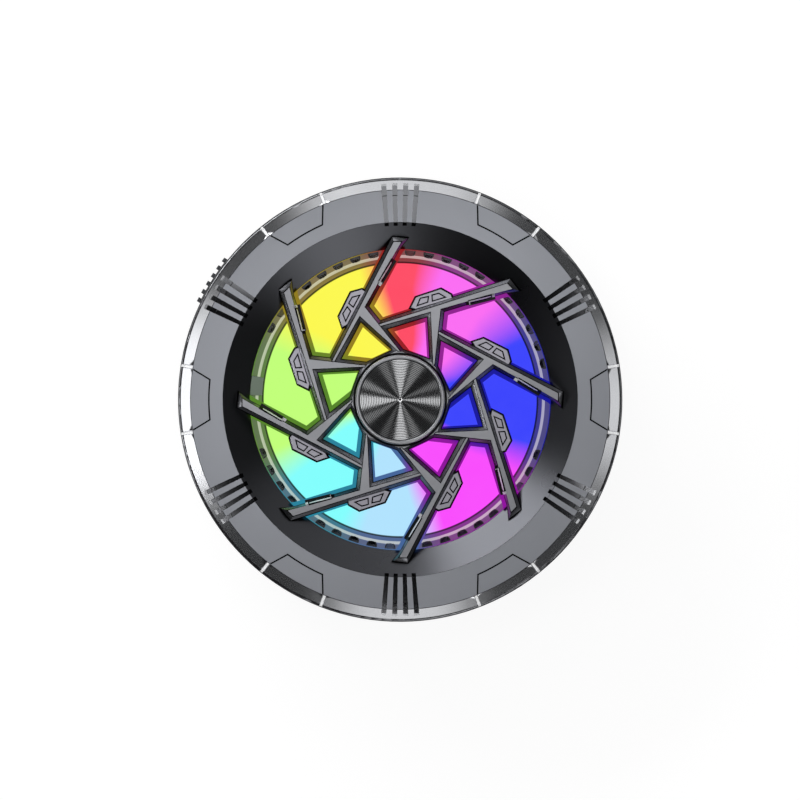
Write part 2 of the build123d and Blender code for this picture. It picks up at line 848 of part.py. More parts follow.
def blade_section(distance, chord, angle):
    """A thin cambered section across the blade, in the plane at this distance from the axis."""
    plane = Plane(origin=(distance, 0, blade_middle()), x_dir=(0, 1, 0), z_dir=(1, 0, 0))
    lean = math.radians(angle)
    end = (chord / 2 * math.cos(lean), chord / 2 * math.sin(lean))
    normal = (-math.sin(lean), math.cos(lean))
    top = blade_camber + blade_thickness / 2
    low = blade_camber - blade_thickness / 2
    back = ThreePointArc((-end[0], -end[1]), (normal[0] * top, normal[1] * top), end)
    front = ThreePointArc(end, (normal[0] * low, normal[1] * low), (-end[0], -end[1]))
    return plane * make_face(Wire([back.edge(), front.edge()]))


def blade_middle():
    return (impeller_z + impeller_top) / 2


def fan_impeller():
    cavity_radius = impeller_hub_radius - impeller_hub_wall
    hub = disc(impeller_hub_radius, impeller_z, impeller_top)
    hub = fillet(hub.edges().filter_by(GeomType.CIRCLE).group_by(Axis.Z)[-1], impeller_fillet)
    hub = hub - disc(cavity_radius, impeller_z, impeller_top - impeller_crown)
    tip_radius = shroud_inner_radius - tip_clearance
    root = blade_section(impeller_hub_radius - impeller_hub_wall / 2, blade_root_chord, blade_root_angle)
    tip = blade_section(tip_radius + cut_margin, blade_tip_chord, blade_tip_angle)
    blade = loft([root, tip], ruled=True)
    blade = blade & disc(tip_radius, impeller_z - cut_margin, impeller_top + cut_margin)
    whole = hub + around(blade, evenly(blade_count))
    socket = disc(shaft_radius, impeller_z, impeller_top - impeller_crown / 2)
    return whole - socket


def light_tray():
    tray = turned([
        (0, tray_z),
        (tray_radius, tray_z),
        (tray_radius, diffuser_z),
        (tray_radius - tray_wall, diffuser_z),
        (tray_radius - tray_wall, led_board_z),
        (0, led_board_z),
    ])
    lug_size = (tray_lug_reach - tray_radius + tray_wall, tray_lug_width, tray_floor)
    lug = Box(*lug_size, align=high_end)
    lugs = [at_z(one, tray_z) for one in around(lug, evenly(tray_lug_count, tray_lug_start), tray_lug_reach)]
    far = ribbon_near + ribbon_thickness
    slot = ribbon_strip(ribbon_near, far, tray_z, led_board_z, ribbon_slot_clearance)
    tray = tray + lugs - Rot(0, 0, ribbon_angle()) * slot
    return tray - disc(screw_shank_radius + screw_hole_clearance, tray_z, led_board_z)


def led_board():
    hole = hub_post_radius + hub_post_clearance
    return disc(tray_radius - tray_wall - fit_clearance, led_board_z, led_z, hole)


def led_chips():
    chip = at_z(Box(led_size, led_size, led_height, align=upright), led_z)
    chips = []
    for radius, count in zip(led_ring_radii, led_ring_counts):
        chips += around(chip, evenly(count, led_start), radius)
    return group(chips)


def light_diffuser():
    hole = hub_post_radius + hub_post_clearance
    return disc(ring_inner_radius - disc_clearance, diffuser_z, diffuser_top, hole)


def clear_ring():
    seat = diffuser_top
    flange_low = seat + ring_high_rise - ring_flange_thickness
    bead = ring_outer_radius - ring_bead_width
    ring = turned([
        (ring_inner_radius, led_board_z),
        (ring_sleeve_radius, led_board_z),
        (ring_sleeve_radius, flange_low),
        (ring_outer_radius, flange_low),
        (ring_outer_radius, seat + ring_bead_rise),
        (bead, seat + ring_bead_rise),
        (bead, seat + ring_high_rise),
        (ring_slope_outer_radius, seat + ring_high_rise),
        (ring_slope_inner_radius, seat + ring_low_rise),
        (ring_inner_radius, seat + ring_low_rise),
    ])
    half_in, half_out = window_inner_width / 2, window_outer_width / 2
    low_in, high_in = (window_inner_radius, -half_in), (window_inner_radius, half_in)
    low_out, high_out = (window_outer_radius, -half_out), (window_outer_radius, half_out)
    inner_edge = ThreePointArc(high_in, (window_inner_radius - window_bulge, 0), low_in)
    sides = Polyline(low_in, low_out, high_out, high_in)
    outline = make_face(Wire([inner_edge.edge()] + sides.edges()))
    window = at_z(extrude(outline, ring_bead_rise + ring_flange_thickness), flange_low)
    step = 360 / window_full_count
    angles = [start + step * i for start in window_arc_starts for i in range(window_arc_count)]
    ring = ring - around(window, angles)
    return ring - tab_block(0, 0, ring_outer_radius + cut_margin)


def tab_block(inset, rise, outer):
    """The wedge that the frosted tab fills, or with an inset the tab itself."""
    low = diffuser_top + ring_high_rise - ring_flange_thickness
    high = diffuser_top + ring_bead_rise + rise
    section = [
        (ring_inner_radius + inset, low),
        (outer, low),
        (outer, high),
        (ring_inner_radius + inset, high),
    ]
    turn = math.degrees(inset / ring_outer_radius)
    return sector(section, tab_start_angle + turn, tab_end_angle - turn)


def ring_tab():
    return tab_block(fit_clearance, tab_proud, ring_outer_radius - fit_clearance)


def under_dish(clearance):
    """Everything below and outside the dish's sloping face, which the spokes rest on."""
    foot = dish_foot_radius - clearance
    slope = dish_depth / dish_slope_width
    high = dish_height(bezel_opening_radius) + clearance * math.hypot(1, slope)
    low = dish_height(foot) + clearance * math.hypot(1, slope)
    top = bezel_opening_radius
    return turned([(foot, tray_z), (top, tray_z), (top, high), (foot, low)])


def light_skirt():
    bar = shifted(fitted(bar_outline), (0, skirt_trail, skirt_trail, 0, skirt_lead))
    strut = shifted(fitted(strut_outline), (skirt_lead, 0, skirt_trail, 0))
    pieces = around(prism(bar, diffuser_top, wheel_z), evenly(spoke_count))
    pieces += around(prism(strut, diffuser_top, wheel_z), evenly(spoke_count))
    middle = extrude(hub_octagon(hub_apothem + skirt_hub_margin), wheel_z - diffuser_top)
    skirt = at_z(middle, diffuser_top) + pieces
    skirt = skirt & disc(dish_foot_radius - fit_clearance, diffuser_top, wheel_z)
    edge = ring_inner_radius - skirt_clearance
    skirt = skirt - disc(ring_outer_radius + cut_margin, diffuser_top, wheel_z - skirt_ledge_height, edge)
    return skirt - disc(hub_post_radius + hub_post_clearance, diffuser_top, wheel_z)


def line_loop(points, width, low, high):
    """A groove of even width that follows a closed outline."""
    count = len(points)
    outer = shifted(points, [width / 2] * count)
    inner = shifted(points, [-width / 2] * count)
    return prism(outer, low, high) - prism(inner, low, high)


def spoke_bar():
    outline = fitted(bar_outline)
    upper = frustum(outline, fitted(bar_ridge), shoulder_z, ridge_z)
    bar = prism(outline, wheel_z, shoulder_z) + upper
    floor = shoulder_z + pocket_floor_rise
    rib_top = ridge_z - pocket_rib_drop
    rib = prism(fitted(pocket_rib), floor, rib_top)
    stop = prism(fitted(pocket_stop), floor, rib_top)
    return bar - (prism(fitted(flank_pocket), floor, front_z) - rib) + stop


def spoke_strut():
    outline = fitted(strut_outline)
    upper = frustum(outline, fitted(strut_ridge), shoulder_z, ridge_z)
    return prism(outline, wheel_z, shoulder_z) + upper


def spoke_pod():
    top = shoulder_z + pod_rise
    outline = fitted(pod_outline)
    crown = shifted(outline, [-pod_bevel] * len(outline))
    pod = prism(outline, wheel_z, top - pod_bevel) + frustum(outline, crown, top - pod_bevel, top)
    for window in pod_windows:
        pod = pod - line_loop(fitted(window), pod_line_width, top - pod_line_depth, top)
    return pod


def hub_octagon(apothem):
    flat = RegularPolygon(apothem, spoke_count, major_radius=False)
    return Rot(0, 0, hub_edge_angle + 180 / spoke_count) * flat


def wheel_grille():
    spoke = spoke_bar() + spoke_strut() + spoke_pod()
    collar = at_z(extrude(hub_octagon(hub_apothem), shoulder_z - wheel_z), wheel_z)
    crown_top = at_z(hub_octagon(hub_crown_apothem), shoulder_z + hub_crown_rise)
    crown = loft([at_z(hub_octagon(hub_apothem), shoulder_z), crown_top], ruled=True)
    post = disc(hub_post_radius, led_board_z, wheel_z)
    wheel = collar + crown + post + around(spoke, evenly(spoke_count))
    seat = disc(hub_seat_radius, hub_seat_floor, front_z)
    pilot_top = tray_z + hub_screw_length + pilot_clearance
    pilot = disc(screw_shank_radius + pilot_clearance, led_board_z, pilot_top)
    return wheel - under_dish(fit_clearance) - seat - pilot


def hub_trim_ring():
    top = hub_seat_floor + trim_height
    ring = disc(hub_seat_radius - trim_clearance, hub_seat_floor, top, trim_inner_radius)
    return fillet(ring.edges().filter_by(GeomType.CIRCLE).group_by(Axis.Z)[-1], trim_fillet)


def hub_cap():
    rim = trim_inner_radius - trim_clearance
    top = hub_seat_floor + cap_rise
    return turned([(0, hub_seat_floor), (rim, hub_seat_floor), (rim, top), (0, top - cap_dish)])


def front_grooves():
    section = [
        (groove_inner_radius, groove_floor(groove_inner_radius)),
        (groove_outer_radius, groove_floor(groove_outer_radius)),
        (groove_outer_radius, front_z + cut_margin),
        (groove_inner_radius, front_z + cut_margin),
    ]
    half = groove_width_angle / 2
    angles = [group_angle + offset for group_angle in groove_group_angles for offset in groove_offsets]
    return [sector(section, angle - half, angle + half) for angle in angles]


def panel_line():
    """The fine groove round one front panel, drawn for the panel on the +Y axis."""
    x_in, x_out = panel_inner_half_width, panel_outer_half_width
    y_in = math.sqrt(panel_arc_radius ** 2 - x_in ** 2)
    y_out = math.sqrt(panel_outer_radius ** 2 - x_out ** 2)
    x_end = x_out + (x_out - x_in)
    y_end = y_out + (y_out - y_in)
    inner = ThreePointArc((-x_in, y_in), (0, panel_arc_radius), (x_in, y_in))
    sides = Polyline((x_in, y_in), (x_end, y_end), (-x_end, y_end), (-x_in, y_in))
    shape = make_face(Wire([inner.edge()] + sides.edges()))
    line = shape - offset(shape, -panel_line_width, kind=Kind.INTERSECTION)
    line = line & Circle(panel_outer_radius)
    return at_z(extrude(line, panel_line_depth + cut_margin), front_z - panel_line_depth)


def chamfer_notch():
    tilt = math.degrees(math.atan2(chamfer_drop, chamfer_outer_radius - chamfer_inner_radius))
    length = math.hypot(chamfer_drop, chamfer_outer_radius - chamfer_inner_radius)
    bar = Rot(0, tilt, 0) * Rot(45, 0, 0) * Box(length, notch_size, notch_size)
    return Pos((chamfer_inner_radius + chamfer_outer_radius) / 2, 0, front_z - chamfer_drop / 2) * bar


def front_bezel():
    under = front_z - bezel_wall
    rim_z = front_z - chamfer_drop
    fall = rim_z - (housing_radius - chamfer_outer_radius)
    profile = Polyline(
        (housing_radius, fall),
        (housing_radius, parting_z + parting_chamfer),
        (housing_radius - parting_chamfer, parting_z),
        (spigot_outer_radius, parting_z),
        (spigot_outer_radius, parting_z - spigot_depth),
        (spigot_inner_radius, parting_z - spigot_depth),
        (spigot_inner_radius, under),
        (bezel_opening_radius, under),
        (bezel_opening_radius, front_z),
        (chamfer_inner_radius, front_z),
        (chamfer_outer_radius, rim_z),
    )
    corner = math.sqrt(0.5) * bezel_fillet
    centre = (housing_radius - bezel_fillet, fall)
    crest = (centre[0] + corner, centre[1] + corner)
    rim = ThreePointArc((chamfer_outer_radius, rim_z), crest, (housing_radius, fall))
    bezel = revolve(Plane.XZ * make_face(Wire([rim.edge()] + profile.edges())), Axis.Z)
    bezel = bezel - front_grooves()
    lines = [Rot(0, 0, angle - 90) * panel_line() for angle in panel_angles]
    notch_angles = [angle + side for angle in panel_angles for side in (-notch_angle, notch_angle)]
    notches = around(chamfer_notch(), notch_angles)
    return bezel - lines - notches


def dish_ring():
    top_radius = dish_top_radius
    under = dish_flange_thickness
    ring = turned([
        (dish_foot_radius, dish_height(dish_foot_radius)),
        (top_radius, front_z),
        (top_radius, groove_floor(top_radius)),
        (dish_flange_radius, groove_floor(dish_flange_radius)),
        (dish_flange_radius, groove_floor(dish_flange_radius) - under),
        (top_radius, groove_floor(top_radius) - under),
        (dish_skirt_radius, dish_height(dish_foot_radius) - 2 * under),
        (dish_skirt_radius, tray_z - dish_ledge_thickness),
        (dish_ledge_radius, tray_z - dish_ledge_thickness),
        (dish_ledge_radius, tray_z),
        (dish_foot_radius, tray_z),
    ])
    return ring - front_grooves()


def bent_lead(start, corner, end, turn, radius):
    path = FilletPolyline(start, corner, end, radius=turn)
    section = Plane(origin=start, z_dir=path % 0) * Circle(radius)
    return sweep(section, path=path)


def tec_wires():
    z = hot_plate_z - tec_wire_radius
    start = tec_side / 2 - pellet_margin + tec_wire_radius
    leads = []
    for side in (-1, 1):
        x = side * tec_wire_spacing / 2
        points = ((x, -start, z), (x, -tec_wire_reach, z), (x, -tec_wire_reach, board_z))
        leads.append(bent_lead(*points, tec_wire_radius_of_turn, tec_wire_radius))
    return group(leads)


def fan_wires():
    z = fan_z + fan_wire_lift
    leads = []
    for i in range(2):
        y = fan_wire_offset + i * fan_wire_spacing
        start = math.sqrt(motor_base_radius ** 2 - y ** 2) + fan_wire_radius / 2
        points = ((start, y, z), (fan_wire_reach, y, z), (fan_wire_reach, y, board_z))
        lead = bent_lead(*points, fan_wire_turn, fan_wire_radius)
        leads.append(Rot(0, 0, sink_screw_angles[2]) * lead)
    return group(leads)


def ribbon_angle():
    return (tab_start_angle + tab_end_angle) / 2


def ribbon_strip(near, far, low, high, margin=0.0):
    size = (far - near + 2 * margin, ribbon_width + 2 * margin, high - low)
    return Pos(near - margin, 0, low) * Box(*size, align=low_end)


def led_ribbon():
    """A flat cable folded from the light board, over the fan's rim, to the main board."""
    level = shroud_top + ribbon_gap
    down = ribbon_strip(ribbon_near, ribbon_near + ribbon_thickness, level, led_board_z)
    over = ribbon_strip(ribbon_near, ribbon_far, level, level + ribbon_thickness)
    end = ribbon_strip(ribbon_far - ribbon_thickness, ribbon_far, board_top, level + ribbon_thickness)
    return Rot(0, 0, ribbon_angle()) * (down + over + end)


def screws(length, head_z, angles, circle, up=1):
    return group(around(screw(length, head_z, up), angles, circle))


pieces = {
    "silicone_ring": silicone_ring(),
    "cold_plate": cold_plate(),
    "magnets": magnets(),
    "magnet_yoke": magnet_yoke(),
    "back_cover": back_cover(),
    "case_screws": screws(case_screw_length, case_screw_seat, post_angles, post_circle, -1),
    "cold_paste": paste(cold_plate_top, tec_side - 2 * paste_inset),
    "tec_cold_ceramic": tec_ceramic(tec_z),
    "tec_pellets": tec_pellets(),
    "tec_hot_ceramic": tec_ceramic(hot_plate_z),
    "hot_paste": paste(hot_plate_z + ceramic_thickness, tec_side - 2 * paste_inset),
    "tec_wires": tec_wires(),
    "foam_gasket": foam_gasket(),
    "heatsink": heatsink(),
    "heatsink_screws": screws(sink_screw_length, fin_z, sink_screw_angles, sink_screw_circle),
    "main_housing": main_housing(),
    "fan_frame": fan_frame(),
    "fan_screws": screws(fan_screw_length, fan_z + fan_ear_thickness, fan_post_angles, fan_post_circle),
    "fan_board": fan_board(),
    "fan_bearing": fan_bearing(),
    "stator_core": stator_core(),
    "stator_coils": stator_coils(),
    "fan_wires": fan_wires(),
    "fan_impeller": fan_impeller(),
    "rotor_yoke": rotor_yoke(),
    "rotor_magnet": rotor_magnet(),
    "fan_shaft": fan_shaft(),
    "main_board": main_board(),
    "board_chips": board_chips(),
    "board_screws": screws(board_screw_length, board_top, post_angles, post_circle),
    "usb_shell": usb_shell(),
    "usb_tongue": usb_tongue(),
    "switch_body": switch_body(),
    "switch_plunger": switch_plunger(),
    "power_button": power_button(),
    "light_tray": light_tray(),
    "led_board": led_board(),
    "led_chips": led_chips(),
    "led_ribbon": led_ribbon(),
    "light_diffuser": light_diffuser(),
    "clear_ring": clear_ring(),
    "ring_tab": ring_tab(),
    "light_skirt": light_skirt(),
    "wheel_grille": wheel_grille(),
    "hub_trim_ring": hub_trim_ring(),
    "hub_cap": hub_cap(),
    "hub_screw": screw(hub_screw_length, tray_z, -1),
    "dish_ring": dish_ring(),
    "front_bezel": front_bezel(),
}

os.makedirs("parts", exist_ok=True)
for name, piece in pieces.items():
    export_step(piece, f"parts/{name}.step")
print(len(pieces), "pieces, front ring at", round(front_z, 2), "mm")
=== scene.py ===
import math
from types import SimpleNamespace
import bpy
import numpy as np
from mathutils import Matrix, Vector


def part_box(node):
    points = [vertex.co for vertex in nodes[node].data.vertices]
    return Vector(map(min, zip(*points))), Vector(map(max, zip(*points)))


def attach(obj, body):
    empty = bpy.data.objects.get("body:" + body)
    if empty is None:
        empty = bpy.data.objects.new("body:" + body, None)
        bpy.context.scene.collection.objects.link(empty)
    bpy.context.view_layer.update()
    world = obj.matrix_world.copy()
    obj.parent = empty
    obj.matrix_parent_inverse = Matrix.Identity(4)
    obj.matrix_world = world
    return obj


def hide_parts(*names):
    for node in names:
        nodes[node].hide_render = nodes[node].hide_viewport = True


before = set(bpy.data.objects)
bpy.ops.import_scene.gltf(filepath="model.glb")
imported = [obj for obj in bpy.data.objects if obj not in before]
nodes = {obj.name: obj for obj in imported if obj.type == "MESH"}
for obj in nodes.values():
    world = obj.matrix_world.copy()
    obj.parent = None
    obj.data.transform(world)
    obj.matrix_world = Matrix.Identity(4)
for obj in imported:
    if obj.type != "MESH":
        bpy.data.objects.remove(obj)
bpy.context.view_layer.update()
mm = 0.001
print("frame loaded:", len(nodes), "nodes")


def srgb(red, green, blue):
    # 0 to 255 as a colour picker shows it, turned into scene-linear light
    values = [channel / 255 for channel in (red, green, blue)]
    return tuple(v / 12.92 if v <= 0.04045 else ((v + 0.055) / 1.055) ** 2.4 for v in values) + (1.0,)


# node helpers

def addNode(tree, kind, inputs=None, **settings):
    node = tree.nodes.new(kind)
    for key, value in settings.items():
        setattr(node, key, value)
    for key, value in (inputs or {}).items():
        if isinstance(value, bpy.types.NodeSocket):
            tree.links.new(value, node.inputs[key])
        else:
            node.inputs[key].default_value = value
    return node


def calc(tree, operation, first, second=0.0, third=0.0, clamp=False):
    node = addNode(tree, "ShaderNodeMath", {0: first, 1: second, 2: third}, operation=operation, use_clamp=clamp)
    return node.outputs[0]


def smoothStep(tree, value, low, high):
    # 0 at low, 1 at high, eased between them; low may be the larger one
    span = {"Value": value, "From Min": low, "From Max": high}
    return addNode(tree, "ShaderNodeMapRange", span, interpolation_type="SMOOTHSTEP").outputs["Result"]


def mixColor(tree, mask, first, second, blend="MIX"):
    node = addNode(tree, "ShaderNodeMix", data_type="RGBA", blend_type=blend)
    for index, value in ((0, mask), (6, first), (7, second)):
        if isinstance(value, bpy.types.NodeSocket):
            tree.links.new(value, node.inputs[index])
        else:
            node.inputs[index].default_value = value
    return node.outputs[2]


def newGroup(name, inputs, outputs):
    # a node group with named sockets; inputs are (name, kind, default)
    tree = bpy.data.node_groups.new(name, "ShaderNodeTree")
    for label, kind, default in inputs:
        socket = tree.interface.new_socket(label, in_out="INPUT", socket_type="NodeSocket" + kind)
        if default is not None:
            socket.default_value = default
    for label, kind in outputs:
        tree.interface.new_socket(label, in_out="OUTPUT", socket_type="NodeSocket" + kind)
    return tree, tree.nodes.new("NodeGroupInput").outputs, tree.nodes.new("NodeGroupOutput").inputs


def placeGroup(tree, group, inputs):
    return addNode(tree, "ShaderNodeGroup", dict(inputs), node_tree=group).outputs


# effects that several finishes share

def makeGrain():
    # two sizes of noise: a broad mottling for colour and gloss, and a fine grain for bump
    tree, given, out = newGroup(
        "finishGrain",
        [("Vector", "Vector", None), ("Fine Scale", "Float", 3000.0), ("Broad Scale", "Float", 120.0)],
        [("Mottle", "Float"), ("Grain", "Float")])
    broad = {"Vector": given["Vector"], "Scale": given["Broad Scale"], "Detail": 3.0}
    fine = {"Vector": given["Vector"], "Scale": given["Fine Scale"], "Detail": 2.0}
    tree.links.new(addNode(tree, "ShaderNodeTexNoise", broad).outputs["Fac"], out["Mottle"])
    tree.links.new(addNode(tree, "ShaderNodeTexNoise", fine).outputs["Fac"], out["Grain"])
    return tree


def makePolar():
    # radius from the fan axis, height, and angle from 0 to 1 counter-clockwise from +X
    tree, given, out = newGroup("axisPolar", [("Vector", "Vector", None)],
                                [("Radius", "Float"), ("Height", "Float"), ("Turn", "Float")])
    parts = addNode(tree, "ShaderNodeSeparateXYZ", {0: given["Vector"]}).outputs
    squares = calc(tree, "MULTIPLY_ADD", parts["X"], parts["X"], calc(tree, "MULTIPLY", parts["Y"], parts["Y"]))
    angle = calc(tree, "DIVIDE", calc(tree, "ARCTAN2", parts["Y"], parts["X"]), 2 * math.pi)
    tree.links.new(calc(tree, "SQRT", squares), out["Radius"])
    tree.links.new(parts["Z"], out["Height"])
    tree.links.new(calc(tree, "FRACT", calc(tree, "ADD", angle, 1.0)), out["Turn"])
    return tree


def makeFacing():
    # which way a face looks: along the turn (counter-clockwise is positive), away from the axis, and up
    tree, given, out = newGroup("faceFacing", [("Vector", "Vector", None), ("Normal", "Vector", None)],
                                [("Sideways", "Float"), ("Outward", "Float"), ("Upward", "Float")])
    flat = addNode(tree, "ShaderNodeVectorMath", {0: given["Vector"], 1: (1, 1, 0)}, operation="MULTIPLY").outputs[0]
    away = addNode(tree, "ShaderNodeVectorMath", {0: flat}, operation="NORMALIZE").outputs[0]
    along = addNode(tree, "ShaderNodeVectorMath", {0: (0, 0, 1), 1: away}, operation="CROSS_PRODUCT").outputs[0]
    for direction, label in ((along, "Sideways"), (away, "Outward"), ((0, 0, 1), "Upward")):
        dot = addNode(tree, "ShaderNodeVectorMath", {0: given["Normal"], 1: direction}, operation="DOT_PRODUCT")
        tree.links.new(dot.outputs["Value"], out[label])
    return tree


def makeBand():
    # 1 between two values and 0 outside them, with soft edges
    tree, given, out = newGroup(
        "softBand",
        [("Value", "Float", 0.0), ("Low", "Float", 0.0), ("High", "Float", 1.0), ("Soft", "Float", 0.0001)],
        [("Mask", "Float")])
    rise = calc(tree, "DIVIDE", calc(tree, "SUBTRACT", given["Value"], given["Low"]), given["Soft"], clamp=True)
    fall = calc(tree, "DIVIDE", calc(tree, "SUBTRACT", given["High"], given["Value"]), given["Soft"], clamp=True)
    tree.links.new(calc(tree, "MULTIPLY", rise, fall), out["Mask"])
    return tree


spokeCount = 8


def makeSpokeFrame():
    # the wheel repeats from spoke to spoke, counted from the turn Start: places in the frame of the first spoke,
    # and 1 on every second spoke
    tree, given, out = newGroup("spokeFrame", [("Vector", "Vector", None), ("Start", "Float", 0.0)],
                                [("X", "Float"), ("Y", "Float"), ("Odd", "Float")])
    polar = placeGroup(tree, polarGroup, {"Vector": given["Vector"]})
    counted = calc(tree, "MULTIPLY", calc(tree, "SUBTRACT", polar["Turn"], given["Start"]), spokeCount)
    whole = calc(tree, "FLOOR", counted)
    within = calc(tree, "SUBTRACT", calc(tree, "MULTIPLY", polar["Turn"], spokeCount), whole)
    angle = calc(tree, "MULTIPLY", within, 2 * math.pi / spokeCount)
    tree.links.new(calc(tree, "MULTIPLY", polar["Radius"], calc(tree, "COSINE", angle)), out["X"])
    tree.links.new(calc(tree, "MULTIPLY", polar["Radius"], calc(tree, "SINE", angle)), out["Y"])
    tree.links.new(calc(tree, "FLOORED_MODULO", whole, 2.0), out["Odd"])
    return tree


lampColours = {  # where each lamp colour starts and ends round the disc, in degrees
    "blue": (0, 25, (57, 66, 253)),
    "pink": (47, 72, (251, 108, 243)),
    "red": (83, 96, (254, 74, 100)),
    "yellow": (108, 141, (252, 248, 78)),
    "green": (158, 202, (193, 255, 120)),
    "cyan": (215, 244, (130, 254, 253)),
    "paleBlue": (255, 277, (177, 227, 254)),
    "magenta": (289, 326, (249, 75, 253)),
    "blueAgain": (340, 360, (57, 66, 253)),
}
lampLook = {
    "trailInner": 9 * mm, "trailOuter": 17 * mm, "trail": 0.022, "driftScale": 60.0, "drift": 0.02,
    "smoke": (0.33, 0.25, 0.38, 1),
}


def makeLampColour():
    # the colour the lamps give each direction round the axis, and the same seen through smoked plastic;
    # near the hub the colours trail a few degrees
    look = lampLook
    tree, given, out = newGroup("lampColour", [("Vector", "Vector", None)], [("Color", "Color"), ("Deep", "Color")])
    polar = placeGroup(tree, polarGroup, {"Vector": given["Vector"]})
    span = {"Value": polar["Radius"], "From Min": look["trailInner"], "From Max": look["trailOuter"],
            "To Min": look["trail"], "To Max": 0.0}
    trail = addNode(tree, "ShaderNodeMapRange", span).outputs["Result"]
    noise = {"Vector": given["Vector"], "Scale": look["driftScale"], "Detail": 0.0}
    drift = addNode(tree, "ShaderNodeTexNoise", noise).outputs["Fac"]
    shift = calc(tree, "MULTIPLY_ADD", calc(tree, "SUBTRACT", drift, 0.5), look["drift"], trail)
    turn = calc(tree, "FRACT", calc(tree, "ADD", calc(tree, "ADD", polar["Turn"], shift), 1.0))
    ramp = addNode(tree, "ShaderNodeValToRGB", {"Fac": turn})
    stops = [(edge / 360, srgb(*colour)) for low, high, colour in lampColours.values() for edge in (low, high)]
    elements = ramp.color_ramp.elements
    elements[0].position, elements[0].color = stops[0]
    elements[1].position, elements[1].color = stops[-1]
    for position, colour in stops[1:-1]:
        elements.new(position).color = colour
    lamp = ramp.outputs["Color"]
    squared = mixColor(tree, 1.0, lamp, lamp, "MULTIPLY")
    deep = mixColor(tree, 1.0, squared, look["smoke"], "MULTIPLY")
    tree.links.new(lamp, out["Color"])
    tree.links.new(deep, out["Deep"])
    return tree


grainGroup = makeGrain()
polarGroup = makePolar()
facingGroup = makeFacing()
bandGroup = makeBand()
spokeGroup = makeSpokeFrame()
lampGroup = makeLampColour()


def startFinish(name, **sockets):
    # a material with its Principled shader, its object coordinates and the values that stay the same all over
    material = bpy.data.materials.new(name)
    material.use_nodes = True
    tree = material.node_tree
    coordinates = addNode(tree, "ShaderNodeTexCoord").outputs
    finish = SimpleNamespace(material=material, tree=tree, shader=tree.nodes["Principled BSDF"],
                             place=coordinates["Object"], normal=coordinates["Normal"])
    for key, value in sockets.items():
        feed(finish, key.replace("_", " "), value)
    return finish


def feed(finish, label, value):
    socket = finish.shader.inputs[label]
    if isinstance(value, bpy.types.NodeSocket):
        finish.tree.links.new(value, socket)
    else:
        socket.default_value = value


def grainOf(finish, fine, broad):
    # mottling and grain at a fine and a broad scale
    return placeGroup(finish.tree, grainGroup, {"Vector": finish.place, "Fine Scale": fine, "Broad Scale": broad})


def polarOf(finish):
    # radius, height and turn round the fan axis
    return placeGroup(finish.tree, polarGroup, {"Vector": finish.place})


def lampOf(finish):
    # the lamps' colour here, plain and deep
    return placeGroup(finish.tree, lampGroup, {"Vector": finish.place})


def bandOf(finish, value, low, high, soft):
    return placeGroup(finish.tree, bandGroup, {"Value": value, "Low": low, "High": high, "Soft": soft})["Mask"]


def addBump(finish, height, distance):
    node = addNode(finish.tree, "ShaderNodeBump", {"Height": height, "Distance": distance, "Strength": 1.0})
    feed(finish, "Normal", node.outputs["Normal"])


def spread(finish, value, low, high):
    # a 0 to 1 value carried to low to high
    return addNode(finish.tree, "ShaderNodeMapRange", {"Value": value, "To Min": low, "To Max": high}).outputs["Result"]


def both(finish, *masks):
    # where all the masks hold
    result = masks[0]
    for mask in masks[1:]:
        result = calc(finish.tree, "MULTIPLY", result, mask)
    return result


def opposite(finish, mask):
    # where the mask does not hold
    return calc(finish.tree, "SUBTRACT", 1.0, mask, clamp=True)


def plainFinish(name, colour, dark, roughness, metallic, fine, broad, depth, **sockets):
    # a moulded, cast or plated surface: mottled colour, uneven gloss and a fine grain
    finish = startFinish(name, Metallic=metallic, **sockets)
    grain = grainOf(finish, fine, broad)
    feed(finish, "Base Color", mixColor(finish.tree, grain["Mottle"], dark, colour))
    feed(finish, "Roughness", spread(finish, grain["Mottle"], roughness * 0.85, roughness * 1.15))
    addBump(finish, grain["Grain"], depth)
    return finish.material


# heights that the finishes follow, from the frame: front, ridges, wheel, the shoulder under the spokes, and pods

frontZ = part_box("front_bezel")[1].z
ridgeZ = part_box("wheel_grille")[1].z
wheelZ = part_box("light_skirt")[1].z
shoulderZ = wheelZ + 0.6 * mm
podZ = shoulderZ + 0.25 * mm
print("front at", round(frontZ / mm, 2), "mm, ridges at", round(ridgeZ / mm, 2), "mm")

# the rim, edge and line colours are painted shade, and the joint bars' emission colour is a painted glow
bezelLook = {
    "paint": srgb(172, 174, 181), "paintDark": srgb(164, 167, 174), "machined": srgb(188, 189, 192),
    "rim": srgb(120, 121, 124), "edge": srgb(30, 30, 33), "line": srgb(48, 49, 54), "seam": srgb(8, 8, 9),
    "slot": srgb(109, 110, 113), "joint": srgb(236, 237, 239), "jointPaintedGlow": (0.3, 0.3, 0.3, 1),
    "paintMetal": 0.85, "paintRough": (0.33, 0.33, 0.33, 1), "machinedRough": (0.2, 0.2, 0.2, 1),
    "slotRough": (0.06, 0.06, 0.06, 1), "grain": (5200.0, 60.0), "grainDepth": 0.002 * mm,
    "chamferInner": 32.1 * mm, "chamferFall": 1.13 / 1.45, "rimInner": 33.6 * mm, "edgeInner": 33.88 * mm,
    "fineSoft": 0.02 * mm, "soft": 0.1 * mm, "edgeSoft": 0.05 * mm,
    "lineWidth": 0.11 * mm, "lineSoft": 0.03 * mm, "seamDepth": 0.05 * mm, "seamSoft": 0.04 * mm,
    "slotDepth": 0.4 * mm, "slotSoft": 0.05 * mm,
    "panels": 6, "jointTurn": 8.9 / 360, "jointHalf": 0.36 / 360, "jointSoft": 0.0001,
}


